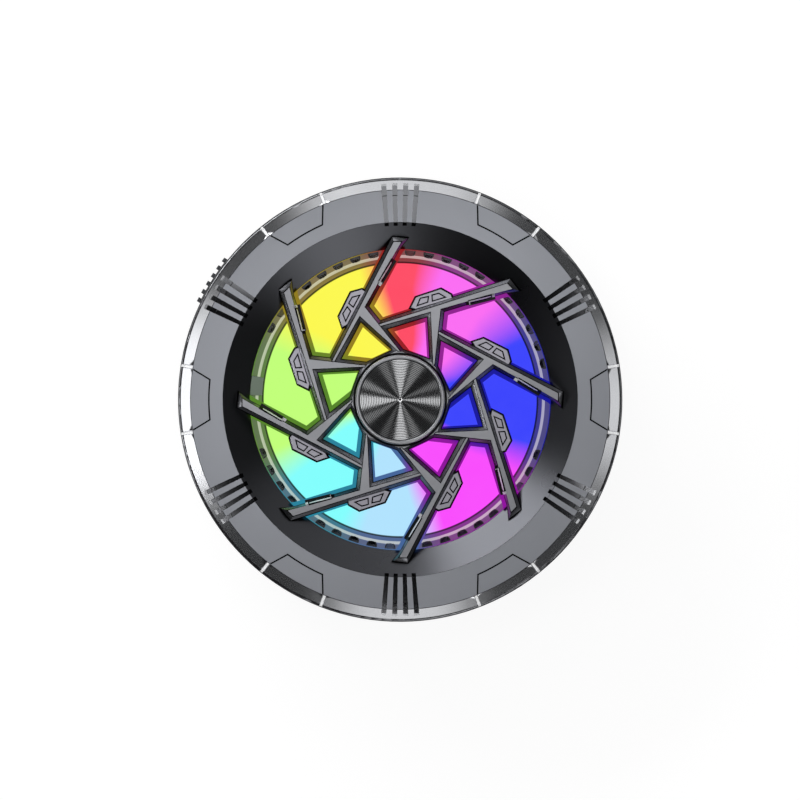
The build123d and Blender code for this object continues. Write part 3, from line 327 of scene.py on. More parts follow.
def jointMask(finish, turn):
    # bars on both sides of the middle of every panel
    look, tree = bezelLook, finish.tree
    panel = calc(tree, "FRACT", calc(tree, "MULTIPLY_ADD", turn, look["panels"], 0.5))
    aside = calc(tree, "DIVIDE", calc(tree, "ABSOLUTE", calc(tree, "SUBTRACT", panel, 0.5)), look["panels"])
    near, half = look["jointTurn"], look["jointHalf"]
    return bandOf(finish, aside, near - half, near + half, look["jointSoft"])


def bezelFinish():
    # satin paint on the flat and bare metal on the chamfer; a darker copy of that metal on the rounded rim, a dark line
    # at the chamfer's inner edge and a black outer edge are painted shade; depth below the face picks seams and slots,
    # and pale non-metal bars cross the chamfer at the ends of the panel lines, with a painted glow
    look = bezelLook
    finish = startFinish("bezelMetal", Emission_Strength=1.0)
    tree = finish.tree
    grain = grainOf(finish, *look["grain"])
    polar = polarOf(finish)
    radius, height = polar["Radius"], polar["Height"]
    inner, rimInner = look["chamferInner"], look["rimInner"]
    chamfer = smoothStep(tree, radius, inner - look["fineSoft"], inner + look["fineSoft"])
    beyond = calc(tree, "MAXIMUM", calc(tree, "SUBTRACT", radius, inner), 0.0)
    drop = calc(tree, "MULTIPLY", beyond, look["chamferFall"])
    depth = calc(tree, "SUBTRACT", calc(tree, "SUBTRACT", frontZ, drop), height)
    onTop = smoothStep(tree, radius, rimInner, rimInner - look["soft"])
    seam = both(finish, onTop, bandOf(finish, depth, look["seamDepth"], look["slotDepth"], look["seamSoft"]))
    slot = both(finish, onTop, smoothStep(tree, depth, look["slotDepth"], look["slotDepth"] + look["slotSoft"]))
    line = bandOf(finish, radius, inner - look["lineWidth"], inner + look["fineSoft"], look["lineSoft"])
    rim = smoothStep(tree, radius, rimInner - look["soft"], rimInner)
    edge = smoothStep(tree, radius, look["edgeInner"] - look["edgeSoft"], look["edgeInner"])
    joint = both(finish, jointMask(finish, polar["Turn"]), chamfer, opposite(finish, edge))
    colour = mixColor(tree, grain["Mottle"], look["paintDark"], look["paint"])
    # painted shade: the rim's darker metal, the dark chamfer line and the black outer edge
    for mask, name in ((chamfer, "machined"), (line, "line"), (rim, "rim"), (edge, "edge"),
                       (both(finish, seam, opposite(finish, chamfer)), "seam"), (joint, "joint"), (slot, "slot")):
        colour = mixColor(tree, mask, colour, look[name])
    feed(finish, "Base Color", colour)
    bare = spread(finish, calc(tree, "MAXIMUM", chamfer, slot), look["paintMetal"], 1.0)
    feed(finish, "Metallic", both(finish, bare, opposite(finish, joint)))
    # painted glow: the pale bars give off light though they are no lamp
    feed(finish, "Emission Color", mixColor(tree, joint, (0, 0, 0, 1), look["jointPaintedGlow"]))
    rough = mixColor(tree, chamfer, look["paintRough"], look["machinedRough"])
    feed(finish, "Roughness", mixColor(tree, slot, rough, look["slotRough"]))
    addBump(finish, grain["Grain"], look["grainDepth"])
    return finish.material


dishLook = {
    "foot": 23.08 * mm, "footZ": 25.8 * mm, "rise": 2.2 / 4.03, "slotInner": 26.4 * mm, "slotInnerSoft": 0.1 * mm,
    "slotDepth": 0.12 * mm, "slotSoft": 0.06 * mm, "grain": (2500.0, 90.0),
    "gloss": srgb(82, 83, 87), "glossDark": srgb(76, 77, 81), "slot": srgb(109, 110, 113),
    "roughLow": (0.26, 0.26, 0.26, 1), "roughHigh": (0.3, 0.3, 0.3, 1), "slotRough": (0.06, 0.06, 0.06, 1),
}


def dishFinish():
    # dark glossy metal; depth below the cone picks the slots
    look = dishLook
    finish = startFinish("dishGloss", Metallic=1.0)
    tree = finish.tree
    grain = grainOf(finish, *look["grain"])
    polar = polarOf(finish)
    fromFoot = calc(tree, "SUBTRACT", polar["Radius"], look["foot"])
    cone = calc(tree, "MULTIPLY_ADD", fromFoot, look["rise"], look["footZ"])
    depth = calc(tree, "SUBTRACT", cone, polar["Height"])
    slot = both(finish, smoothStep(tree, depth, look["slotDepth"], look["slotDepth"] + look["slotSoft"]),
                smoothStep(tree, polar["Radius"], look["slotInner"], look["slotInner"] + look["slotInnerSoft"]))
    colour = mixColor(tree, grain["Mottle"], look["glossDark"], look["gloss"])
    feed(finish, "Base Color", mixColor(tree, slot, colour, look["slot"]))
    rough = mixColor(tree, grain["Mottle"], look["roughLow"], look["roughHigh"])
    feed(finish, "Roughness", mixColor(tree, slot, rough, look["slotRough"]))
    return finish.material


slitLook = {  # in the first spoke's own frame: where a slit starts, its direction, and its parts along and beside it
    "firstTurn": 0.21, "x": -3.16 * mm, "y": 17.95 * mm, "along": (0.518, 0.855), "soft": 0.02 * mm,
    "start": 0.05 * mm, "innerEnd": -0.75 * mm, "line": 3.55 * mm, "tipInner": 3.72 * mm, "tip": 4.15 * mm,
    "width": 0.1 * mm, "near": -0.45 * mm, "reach": 0.82 * mm, "shadeReach": 0.58 * mm,
    "lineFoot": 0.2 * mm, "lineSoft": 0.04 * mm, "stopTop": 0.02 * mm, "stopSoft": 0.03 * mm,
}


def slitFrame(finish):
    # distance along and beside a slit, and 1 on every second spoke
    tree = finish.tree
    spoke = placeGroup(tree, spokeGroup, {"Vector": finish.place, "Start": slitLook["firstTurn"]})
    alongX, alongY = slitLook["along"]
    fromX = calc(tree, "SUBTRACT", spoke["X"], slitLook["x"])
    fromY = calc(tree, "SUBTRACT", spoke["Y"], slitLook["y"])
    along = calc(tree, "MULTIPLY_ADD", fromX, alongX, calc(tree, "MULTIPLY", fromY, alongY))
    aside = calc(tree, "MULTIPLY_ADD", fromX, alongY, calc(tree, "MULTIPLY", fromY, -alongX))
    return along, aside, spoke["Odd"]


# black is the painted shade of outlines, pocket floors and slits, and it also fills the hub and the random mottling;
# the darker flank colour is painted shade, and the near-white colour is a painted highlight
wheelLook = {
    "ridge": srgb(160, 161, 166), "pod": srgb(172, 170, 180), "flank": srgb(150, 151, 156), "flankShade": srgb(116, 117, 122),
    "black": srgb(9, 9, 10), "slitGlint": srgb(226, 226, 229), "metal": 0.95, "grain": (4200.0, 110.0),
    "grainDepth": 0.0015 * mm, "rough": (0.28, 0.34), "flankRough": 0.77, "mottle": 0.1,
    "level": (0.97, 0.995), "clockwise": (-0.05, -0.2), "hubRadius": 7.3 * mm, "hubSoft": 0.2 * mm,
    "flankShadeInner": 13 * mm, "flankShadeOuter": 15 * mm, "edgeLine": 0.15 * mm, "crestTop": 0.004 * mm, "crestSoft": 0.02 * mm,
    "outline": 0.17 * mm, "outlineSoft": 0.04 * mm, "pocketTop": 0.04 * mm, "pocketSoft": 0.03 * mm,
    "podTop": 0.02 * mm, "podSoft": 0.08 * mm,
}


def slitMasks(finish, sloping, level, height):
    # painted shade as the black of a slit, and a painted highlight as the light of its line and of its one pale end
    tree, slit = finish.tree, slitLook
    start, tip, soft = slit["start"], slit["tip"], slit["soft"]
    along, aside, odd = slitFrame(finish)
    lineFoot, stopTop = shoulderZ + slit["lineFoot"], ridgeZ - slit["stopTop"]
    above = smoothStep(tree, height, lineFoot, lineFoot + slit["lineSoft"])
    belowTop = smoothStep(tree, height, stopTop, stopTop - slit["stopSoft"])
    near = bandOf(finish, aside, slit["near"], slit["reach"], soft)
    # painted shade: black over the slit on sloping faces
    shade = both(finish, bandOf(finish, along, start, tip, soft), near, sloping)
    # painted highlight: a light line along the slit
    line = both(finish, bandOf(finish, aside, -slit["width"], slit["width"], soft),
                bandOf(finish, along, start, slit["line"], soft), above)
    # the inner end is a painted highlight on even spokes and painted shade on odd ones; the outer end is a painted
    # highlight on odd spokes
    innerEnd = both(finish, bandOf(finish, along, slit["innerEnd"], start, soft), near, level, belowTop)
    outerEnd = both(finish, bandOf(finish, along, slit["tipInner"], tip, soft), near, belowTop, odd)
    slitGlint = calc(tree, "MAXIMUM", outerEnd, both(finish, innerEnd, opposite(finish, odd)))
    return calc(tree, "MAXIMUM", shade, both(finish, innerEnd, odd)), calc(tree, "MAXIMUM", line, slitGlint)


def wheelFinish():
    # light metal with black outlines at foot and crest and black pocket floors, all painted shade; painted shade
    # darkens the outer flanks that face clockwise; black slits are painted shade, each with a painted highlight on its
    # line and at one end
    look = wheelLook
    finish = startFinish("wheelMetal")
    tree = finish.tree
    grain = grainOf(finish, *look["grain"])
    polar = polarOf(finish)
    radius, height = polar["Radius"], polar["Height"]
    facing = placeGroup(tree, facingGroup, {"Vector": finish.place, "Normal": finish.normal})
    level = smoothStep(tree, facing["Upward"], *look["level"])
    sloping = opposite(finish, level)
    pocketZ, footZ, podTop = podZ - look["pocketTop"], shoulderZ + look["outline"], podZ + look["podTop"]
    low = smoothStep(tree, height, pocketZ, pocketZ - look["pocketSoft"])
    foot = smoothStep(tree, height, footZ, footZ - look["outlineSoft"])
    crest = bandOf(finish, height, ridgeZ - look["edgeLine"], ridgeZ - look["crestTop"], look["crestSoft"])
    # painted shade: black on pocket floors and as outlines at the foot and crest of the flanks
    dark = calc(tree, "MAXIMUM", both(finish, level, low), both(finish, calc(tree, "MAXIMUM", foot, crest), sloping))
    # black within the hub radius
    dark = calc(tree, "MAXIMUM", dark, smoothStep(tree, radius, look["hubRadius"], look["hubRadius"] - look["hubSoft"]))
    slitDark, light = slitMasks(finish, sloping, level, height)
    dark = both(finish, calc(tree, "MAXIMUM", dark, slitDark), opposite(finish, light))
    top = mixColor(tree, smoothStep(tree, height, podTop, podTop + look["podSoft"]), look["pod"], look["ridge"])
    # painted shade: outer flanks that face clockwise take a darker colour
    clockwise = both(finish, smoothStep(tree, facing["Sideways"], *look["clockwise"]),
                     smoothStep(tree, radius, look["flankShadeInner"], look["flankShadeOuter"]))
    colour = mixColor(tree, level, mixColor(tree, clockwise, look["flank"], look["flankShade"]), top)
    colour = mixColor(tree, spread(finish, grain["Mottle"], 0.0, look["mottle"]), colour, look["black"])
    # painted highlight on each slit's line and end
    colour = mixColor(tree, light, colour, look["slitGlint"])
    feed(finish, "Base Color", mixColor(tree, dark, colour, look["black"]))
    feed(finish, "Metallic", spread(finish, light, look["metal"], 0.0))
    rough = spread(finish, grain["Mottle"], *look["rough"])
    feed(finish, "Roughness", both(finish, rough, spread(finish, level, look["flankRough"], 1.0)))
    addBump(finish, grain["Grain"], look["grainDepth"])
    return finish.material


litLook = {"rim": 20.9 * mm, "rimSoft": (0.06 * mm, 0.04 * mm), "shade": (0.12, 0.12, 0.12, 1), "opal": 0.02,
           "grain": (1500.0, 260.0)}


def litFinish():
    # an opal plate lit from behind by the lamps, dim at its rim where it is clamped
    finish = startFinish("litDiffuser", Base_Color=srgb(12, 12, 13), Roughness=0.45, Emission_Strength=1.0,
                         Specular_IOR_Level=0.0)
    look, tree = litLook, finish.tree
    opal = grainOf(finish, *look["grain"])
    colour = mixColor(tree, spread(finish, opal["Mottle"], 0.0, look["opal"]), lampOf(finish)["Color"], (1, 1, 1, 1))
    before, after = look["rimSoft"]
    rim = smoothStep(tree, polarOf(finish)["Radius"], look["rim"] - before, look["rim"] + after)
    dimmed = mixColor(tree, 1.0, colour, look["shade"], "MULTIPLY")
    feed(finish, "Emission Color", mixColor(tree, rim, colour, dimmed))
    return finish.material


skirtLook = {"mottle": 0.25, "grain": (1500.0, 300.0)}


def skirtFinish():
    # smoked clear plastic under the spokes: the lamps' colours, deeper, and black beside the slits as painted shade
    finish = startFinish("tintedSkirt", Base_Color=srgb(10, 10, 11), Roughness=0.25, Emission_Strength=1.0,
                         Specular_IOR_Level=0.15)
    lamp = lampOf(finish)
    grain = grainOf(finish, *skirtLook["grain"])
    along, aside, _ = slitFrame(finish)
    # painted shade: black beside each slit
    shade = both(finish, bandOf(finish, along, -slitLook["start"], slitLook["tip"], slitLook["soft"]),
                 bandOf(finish, aside, 0.0, slitLook["shadeReach"], slitLook["soft"]))
    shade = calc(finish.tree, "MAXIMUM", shade, spread(finish, grain["Mottle"], 0.0, skirtLook["mottle"]))
    feed(finish, "Emission Color", mixColor(finish.tree, shade, lamp["Deep"], (0, 0, 0, 1)))
    return finish.material


lensLook = {  # radii of the bands across the clear ring, and the angles of its windows in degrees
    "gap": 21.18 * mm, "tint": 21.68 * mm, "grey": 22.17 * mm, "edge": 22.94 * mm,
    "gapSoft": 0.06 * mm, "bandSoft": 0.05 * mm, "edgeSoft": 0.04 * mm,
    "windowInner": 22.06 * mm, "windowOuter": 22.9 * mm, "cornerRise": 0.4 * mm, "windowSoft": 0.03,
    "firstWindow": 14.1, "windowStep": 7.2, "windowCount": 20, "arcStep": 187.2,
    "windowHalf": 2.15, "windowHalfInner": 1.5,
    "light": srgb(196, 192, 188), "web": srgb(106, 100, 102), "dark": srgb(16, 15, 16), "smoke": srgb(30, 31, 32),
    "webInTint": 0.25, "lampInGrey": 0.19, "lampInEdge": 0.08, "deepInWeb": (0.35, 0.65),
    "glow": 0.75, "body": (0.25, 0.25, 0.25, 1), "grain": (2600.0, 500.0),
}


def windowMask(finish, radius, degrees):
    # two arcs of windows in equal steps, each narrower at its inner side; counting starts half a step before the
    # first window and far enough back that no count is negative
    look, tree = lensLook, finish.tree
    step, first = look["windowStep"], look["firstWindow"]
    counted = calc(tree, "DIVIDE", calc(tree, "SUBTRACT", degrees, first), step)
    beside = calc(tree, "SUBTRACT", calc(tree, "FRACT", calc(tree, "ADD", counted, 50.5)), 0.5)
    inner = look["windowInner"]
    widening = {"Value": radius, "From Min": inner, "From Max": inner + look["cornerRise"],
                "To Min": look["windowHalfInner"] / step, "To Max": look["windowHalf"] / step}
    half = addNode(tree, "ShaderNodeMapRange", widening).outputs["Result"]
    opening = smoothStep(tree, calc(tree, "SUBTRACT", half, calc(tree, "ABSOLUTE", beside)), 0.0, look["windowSoft"])
    arcs = calc(tree, "DIVIDE", calc(tree, "SUBTRACT", degrees, first - step / 2), look["arcStep"])
    onArc = calc(tree, "LESS_THAN", calc(tree, "FRACT", arcs), look["windowCount"] * step / look["arcStep"])
    return both(finish, opening, onArc, bandOf(finish, radius, inner, look["windowOuter"], look["edgeSoft"]))


def lensFinish():
    # clear plastic lit from its edge: a tinted band, a pale band, and a web of smoked plastic round the windows
    look = lensLook
    finish = startFinish("clearLens", Roughness=0.3, Emission_Strength=look["glow"], Specular_IOR_Level=0.3)
    tree = finish.tree
    lamp = lampOf(finish)
    polar = polarOf(finish)
    radius, degrees = polar["Radius"], calc(tree, "MULTIPLY", polar["Turn"], 360.0)
    grain = grainOf(finish, *look["grain"])
    colour = mixColor(tree, look["webInTint"], lamp["Deep"], look["web"])
    pale = mixColor(tree, look["lampInGrey"], look["light"], lamp["Color"])
    grey = bandOf(finish, radius, look["tint"], look["grey"], look["bandSoft"])
    colour = mixColor(tree, grey, colour, pale)
    web = mixColor(tree, spread(finish, grain["Mottle"], *look["deepInWeb"]), look["web"], lamp["Deep"])
    colour = mixColor(tree, smoothStep(tree, radius, look["grey"], look["grey"] + look["bandSoft"]), colour, web)
    colour = mixColor(tree, windowMask(finish, radius, degrees), colour, look["smoke"])
    rim = mixColor(tree, look["lampInEdge"], lamp["Deep"], lamp["Color"])
    colour = mixColor(tree, smoothStep(tree, radius, look["edge"] - look["edgeSoft"], look["edge"]), colour, rim)
    gap = smoothStep(tree, radius, look["gap"], look["gap"] - look["gapSoft"])
    colour = mixColor(tree, gap, colour, look["dark"])
    feed(finish, "Emission Color", colour)
    feed(finish, "Base Color", mixColor(tree, 1.0, colour, look["body"], "MULTIPLY"))
    return finish.material


tabLook = {"dark": srgb(124, 134, 129), "pale": srgb(144, 154, 149), "glow": (0.03, 0.03, 0.03, 1),
           "grain": (2600.0, 200.0), "grainDepth": 0.01 * mm}


def tabFinish():
    # frosted plastic with a little of the lamps' colour
    look = tabLook
    finish = startFinish("frostedTab", Roughness=0.5, Emission_Strength=1.0)
    grain = grainOf(finish, *look["grain"])
    feed(finish, "Base Color", mixColor(finish.tree, grain["Mottle"], look["dark"], look["pale"]))
    feed(finish, "Emission Color", mixColor(finish.tree, 1.0, lampOf(finish)["Color"], look["glow"], "MULTIPLY"))
    addBump(finish, grain["Grain"], look["grainDepth"])
    return finish.material


# groove is the painted shade colour of each ring's narrow flank and of the centre; random wear also darkens towards it
capLook = {
    "pitch": 0.252 * mm, "lean": 17.0, "share": 0.7, "steps": 240, "rings": 23, "flatRim": 0.03 * mm,
    "metal": srgb(214, 215, 217), "groove": srgb(16, 16, 17), "rough": (0.12, 0.14), "wear": 0.12,
    "dish": 0.15 * mm, "hole": 0.01 * mm, "narrowStart": -0.05, "narrowEnd": 0.02, "centre": (-0.6, -1.0),
    "edgeDrop": 0.04 * mm, "edgeFoot": 0.1 * mm, "grain": (2500.0, 300.0),
}
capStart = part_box("hub_cap")[1].x - capLook["flatRim"] - capLook["rings"] * capLook["pitch"]


def spunFinish():
    # each turned ring keeps pale metal on its wide flank; its narrow flank is painted dark, as the centre is, as
    # painted shade
    look = capLook
    finish = startFinish("spunMetal", Metallic=1.0)
    tree = finish.tree
    steps = calc(tree, "DIVIDE", calc(tree, "SUBTRACT", polarOf(finish)["Radius"], capStart), look["pitch"])
    start, end = look["share"] + look["narrowStart"], look["share"] + look["narrowEnd"]
    # painted shade on the narrow flank of every ring
    narrow = smoothStep(tree, calc(tree, "FRACT", steps), start, end)
    # painted shade over the centre
    narrow = calc(tree, "MAXIMUM", narrow, smoothStep(tree, steps, *look["centre"]))
    grain = grainOf(finish, *look["grain"])
    colour = mixColor(tree, narrow, look["metal"], look["groove"])
    colour = mixColor(tree, spread(finish, grain["Mottle"], 0.0, look["wear"]), colour, look["groove"])
    feed(finish, "Base Color", colour)
    feed(finish, "Roughness", spread(finish, grain["Mottle"], *look["rough"]))
    return finish.material


turnedLook = {
    "pitch": 0.14 * mm, "depth": 0.003 * mm, "dark": srgb(196, 198, 201), "pale": srgb(212, 213, 216),
    "rough": (0.24, 0.34), "grain": (3000.0, 100.0),
}


def turnedFinish():
    # a fine turned face: rings round the axis
    look = turnedLook
    finish = startFinish("turnedAluminium", Metallic=1.0)
    grain = grainOf(finish, *look["grain"])
    rings = calc(finish.tree, "MULTIPLY", polarOf(finish)["Radius"], 2 * math.pi / look["pitch"])
    wave = calc(finish.tree, "SINE", rings)
    feed(finish, "Base Color", mixColor(finish.tree, grain["Mottle"], look["dark"], look["pale"]))
    feed(finish, "Roughness", spread(finish, grain["Mottle"], *look["rough"]))
    addBump(finish, wave, look["depth"])
    return finish.material


materials = {
    "bezel": bezelFinish(),
    "dish": dishFinish(),
    "wheel": wheelFinish(),
    "lit": litFinish(),
    "skirt": skirtFinish(),
    "lens": lensFinish(),
    "tab": tabFinish(),
    "spun": spunFinish(),
    "cold": turnedFinish(),
    "rubber": plainFinish("siliconeRubber", srgb(58, 59, 62), srgb(46, 47, 50), 0.64, 0.0, 3800.0, 160.0, 0.02 * mm,
                          Specular_IOR_Level=0.35, Sheen_Weight=0.15),
}

plainFinishes = {  # name, colour, darker colour, roughness, metal, fine grain, broad mottling, grain depth in mm
    "trim": ("satinTrim", (168, 169, 172), (156, 157, 161), 0.3, 0.9, 6000.0, 240.0, 0.001),
    "housing": ("housingTexture", (44, 45, 49), (36, 37, 40), 0.5, 0.0, 2600.0, 130.0, 0.03),
    "cover": ("coverTexture", (48, 49, 53), (38, 39, 42), 0.54, 0.0, 2600.0, 110.0, 0.03),
    "button": ("buttonGrey", (92, 94, 98), (78, 80, 84), 0.32, 0.5, 3600.0, 200.0, 0.01),
    "black": ("fanBlack", (26, 26, 28), (19, 19, 21), 0.42, 0.0, 2400.0, 140.0, 0.02),
    "white": ("trayWhite", (205, 205, 207), (190, 190, 193), 0.55, 0.0, 2400.0, 140.0, 0.02),
    "board": ("boardMask", (18, 66, 44), (12, 50, 33), 0.35, 0.0, 1500.0, 420.0, 0.01),
    "chip": ("chipEpoxy", (34, 34, 36), (26, 26, 28), 0.5, 0.0, 4800.0, 300.0, 0.01),
    "lamp": ("lampHousing", (214, 212, 196), (200, 198, 182), 0.4, 0.0, 3000.0, 300.0, 0.01),
    "ribbon": ("ribbonAmber", (186, 118, 42), (160, 96, 30), 0.3, 0.0, 1800.0, 260.0, 0.01),
    "steel": ("platedSteel", (176, 177, 180), (158, 159, 163), 0.28, 1.0, 5200.0, 260.0, 0.004),
    "screw": ("blackScrew", (64, 64, 67), (48, 48, 51), 0.34, 1.0, 5200.0, 260.0, 0.004),
    "stack": ("laminatedSteel", (118, 120, 124), (98, 100, 104), 0.45, 1.0, 5200.0, 260.0, 0.01),
    "bronze": ("sinteredBronze", (168, 122, 66), (140, 100, 52), 0.5, 1.0, 4200.0, 300.0, 0.02),
    "copper": ("enamelCopper", (186, 96, 48), (160, 76, 34), 0.3, 0.9, 4200.0, 300.0, 0.01),
    "magnet": ("nickelMagnet", (184, 185, 188), (166, 167, 171), 0.22, 1.0, 5200.0, 260.0, 0.003),
    "sink": ("finAluminium", (192, 194, 197), (172, 174, 178), 0.36, 1.0, 4200.0, 200.0, 0.01),
    "ceramic": ("aluminaWhite", (224, 223, 217), (208, 207, 200), 0.6, 0.0, 2600.0, 200.0, 0.02),
    "pellet": ("pelletGrey", (90, 91, 95), (66, 67, 71), 0.55, 0.7, 2600.0, 500.0, 0.03),
    "paste": ("thermalPaste", (178, 178, 176), (160, 160, 158), 0.6, 0.0, 1600.0, 240.0, 0.03),
    "foam": ("closedFoam", (24, 24, 25), (14, 14, 15), 0.9, 0.0, 1900.0, 420.0, 0.08),
    "wire": ("wireInsulation", (148, 22, 20), (120, 14, 14), 0.4, 0.0, 2600.0, 260.0, 0.01),
}
for finishKey, (finishName, pale, shade, rough, metal, fine, broad, depth) in plainFinishes.items():
    materials[finishKey] = plainFinish(finishName, srgb(*pale), srgb(*shade), rough, metal, fine, broad, depth * mm)

wearing = {  # which finish each CAD node takes
    "bezel": ["front_bezel"], "dish": ["dish_ring"], "wheel": ["wheel_grille"], "lit": ["light_diffuser"],
    "skirt": ["light_skirt"], "lens": ["clear_ring"], "tab": ["ring_tab"], "trim": ["hub_trim_ring"],
    "spun": ["hub_cap"], "housing": ["main_housing"], "cover": ["back_cover"], "cold": ["cold_plate"],
    "button": ["power_button"], "black": ["fan_frame", "fan_impeller"], "rubber": ["silicone_ring"],
    "white": ["light_tray", "usb_tongue"], "board": ["main_board", "led_board", "fan_board"],
    "chip": ["board_chips", "switch_body", "switch_plunger"], "lamp": ["led_chips"], "ribbon": ["led_ribbon"],
    "steel": ["usb_shell", "magnet_yoke", "rotor_yoke", "fan_shaft"],
    "screw": ["case_screws", "heatsink_screws", "fan_screws", "board_screws", "hub_screw"],
    "stack": ["stator_core"], "bronze": ["fan_bearing"], "copper": ["stator_coils"],
    "magnet": ["magnets", "rotor_magnet"], "sink": ["heatsink"], "ceramic": ["tec_cold_ceramic", "tec_hot_ceramic"],
    "pellet": ["tec_pellets"], "paste": ["cold_paste", "hot_paste"], "foam": ["foam_gasket"],
    "wire": ["tec_wires", "fan_wires"],
}
for finishName, nodeNames in wearing.items():
    for nodeName in nodeNames:
        slots = nodes[nodeName].data.materials
        slots.clear()
        slots.append(materials[finishName])
undressed = set(nodes) - {name for names in wearing.values() for name in names}
print("finishes:", len(materials), "left plain:", sorted(undressed))


# new surfaces

def turnedGrid(profile, steps):
    # every profile point (radius, height) carried round the axis in equal steps
    turn = np.linspace(0, 2 * np.pi, steps, endpoint=False)
    radius, height = profile[:, 0][:, None], profile[:, 1][:, None]
    return np.stack([radius * np.cos(turn), radius * np.sin(turn), height + 0 * turn], axis=-1)


def turnedPiece(name, profile, steps, body, material, sharp=False):
    # a closed profile swept round the axis; its points run so that the faces look outwards,
    # and sharp keeps a crease at every ring while the surface stays smooth round the turn
    points = turnedGrid(profile, steps)
    rows, columns = points.shape[:2]
    here = np.arange(rows * columns).reshape(rows, columns)
    down = np.roll(here, -1, axis=0)
    faces = np.stack([here, np.roll(here, -1, axis=1), np.roll(down, -1, axis=1), down], axis=-1).reshape(-1, 4)
    mesh = bpy.data.meshes.new(name)
    mesh.from_pydata(points.reshape(-1, 3).tolist(), [], faces.tolist())
    mesh.polygons.foreach_set("use_smooth", np.full(len(mesh.polygons), True))
    if sharp:
        ends = np.empty(len(mesh.edges) * 2, dtype=np.int32)
        mesh.edges.foreach_get("vertices", ends)
        rings = ends.reshape(-1, 2) // columns
        mesh.edges.foreach_set("use_edge_sharp", rings[:, 0] == rings[:, 1])
    mesh.materials.append(material)
    piece = bpy.data.objects.new(name, mesh)
    bpy.context.scene.collection.objects.link(piece)
    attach(piece, body)
    return piece


def spunHubCap():
    # the height falls along the wide flank of each ring and climbs back along its narrow one,
    # on a face that is dished towards the centre
    look = capLook
    low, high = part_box("hub_cap")
    rim, floorZ, topZ = high.x, low.z, high.z
    crest = capStart + np.arange(look["rings"] + 1) * look["pitch"]
    trough = crest[:-1] + look["share"] * look["pitch"]
    depth = look["share"] * look["pitch"] * math.tan(math.radians(look["lean"]))
    radius = np.sort(np.concatenate([crest, trough]))
    cut = np.where(np.arange(len(radius)) % 2 == 1, depth, 0.0)
    face = np.stack([radius, topZ - look["dish"] * (1 - radius / rim) - cut], axis=-1)
    inside = np.array([[look["hole"], floorZ], [look["hole"], topZ - look["dish"]]])
    edge = np.array([[rim - look["hole"], topZ - look["edgeDrop"]], [rim, topZ - look["edgeFoot"]], [rim, floorZ]])
    profile = np.concatenate([inside, face, edge])
    piece = turnedPiece("spunHubCap", profile[::-1], look["steps"], "body", materials["spun"], sharp=True)
    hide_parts("hub_cap")


padLook = {"steps": 240, "ribs": 9, "ribDepth": 0.05 * mm, "edge": 0.3 * mm, "lip": 0.05 * mm, "rows": 200}


def siliconePad():
    # a ring with rounded lips; the height of its gripping face is a row of rings, each a raised cosine,
    # that fade out at both edges
    look = padLook
    low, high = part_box("silicone_ring")
    outer, topZ = high.x, high.z
    mesh = nodes["silicone_ring"].data
    places = np.empty(len(mesh.vertices) * 3)
    mesh.vertices.foreach_get("co", places)
    inner = np.hypot(*places.reshape(-1, 3)[:, :2].T).min()
    share = np.linspace(0, 1, look["rows"])
    edge, lip = look["edge"], look["lip"]
    radius = inner + edge + share * (outer - inner - 2 * edge)
    rib = look["ribDepth"] * np.sqrt(np.sin(np.pi * share)) * (1 - np.cos(2 * np.pi * look["ribs"] * share)) / 2
    bend = np.linspace(0, np.pi / 2, 7)
    innerEdge = np.stack([inner + edge * (1 - np.cos(bend)), edge * (1 - np.sin(bend))], axis=-1)
    outerEdge = np.stack([outer - edge * (1 - np.sin(bend)), edge * (1 - np.cos(bend))], axis=-1)
    back = np.array([[outer, topZ - lip], [outer - lip, topZ], [inner + lip, topZ], [inner, topZ - lip]])
    profile = np.concatenate([innerEdge, np.stack([radius, rib], axis=-1)[1:-1], outerEdge, back])
    piece = turnedPiece("siliconePad", profile, look["steps"], "body", materials["rubber"])
    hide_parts("silicone_ring")


spunHubCap()
siliconePad()
print("new pieces made")


# floor, room, softboxes and camera

floorLook = {"radius": 4.0, "drop": 0.05 * mm, "glow": 0.9, "colour": 0.25}


def studioFloor():
    # a flat round floor, rings of points round the middle
    look = floorLook
    reach = np.array([0.001, 0.3, 1.0, look["radius"]])
    points = turnedGrid(np.stack([reach, np.full(4, -look["drop"])], axis=-1), 96)
    here = np.arange(points.shape[0] * points.shape[1]).reshape(points.shape[:2])
    inner, outer = here[:-1], here[1:]
    faces = np.stack([inner, outer, np.roll(outer, -1, axis=1), np.roll(inner, -1, axis=1)], axis=-1).reshape(-1, 4)
    mesh = bpy.data.meshes.new("studioFloor")
    mesh.from_pydata(points.reshape(-1, 3).tolist(), [], faces.tolist())
    floor = bpy.data.objects.new("studioFloor", mesh)
    bpy.context.scene.collection.objects.link(floor)
    material = bpy.data.materials.new("floorWhite")
    material.use_nodes = True
    tree = material.node_tree
    shader = tree.nodes["Principled BSDF"]
    shader.inputs["Base Color"].default_value = (look["colour"], look["colour"], look["colour"], 1)
    shader.inputs["Roughness"].default_value = 0.9
    shader.inputs["Specular IOR Level"].default_value = 0.0
    path = addNode(tree, "ShaderNodeLightPath").outputs
    indirect = calc(tree, "MAXIMUM", path["Is Glossy Ray"], path["Is Transmission Ray"])
    seen = calc(tree, "MAXIMUM", path["Is Camera Ray"], indirect)
    tree.links.new(calc(tree, "MULTIPLY", seen, look["glow"]), shader.inputs["Emission Strength"])
    shader.inputs["Emission Color"].default_value = (1, 1, 1, 1)
    mesh.materials.append(material)


roomLook = {"dim": 0.025, "horizon": 1.0, "bandTop": 0.05, "bandSoft": 0.04, "colour": (0.96, 0.98, 1.0, 1)}


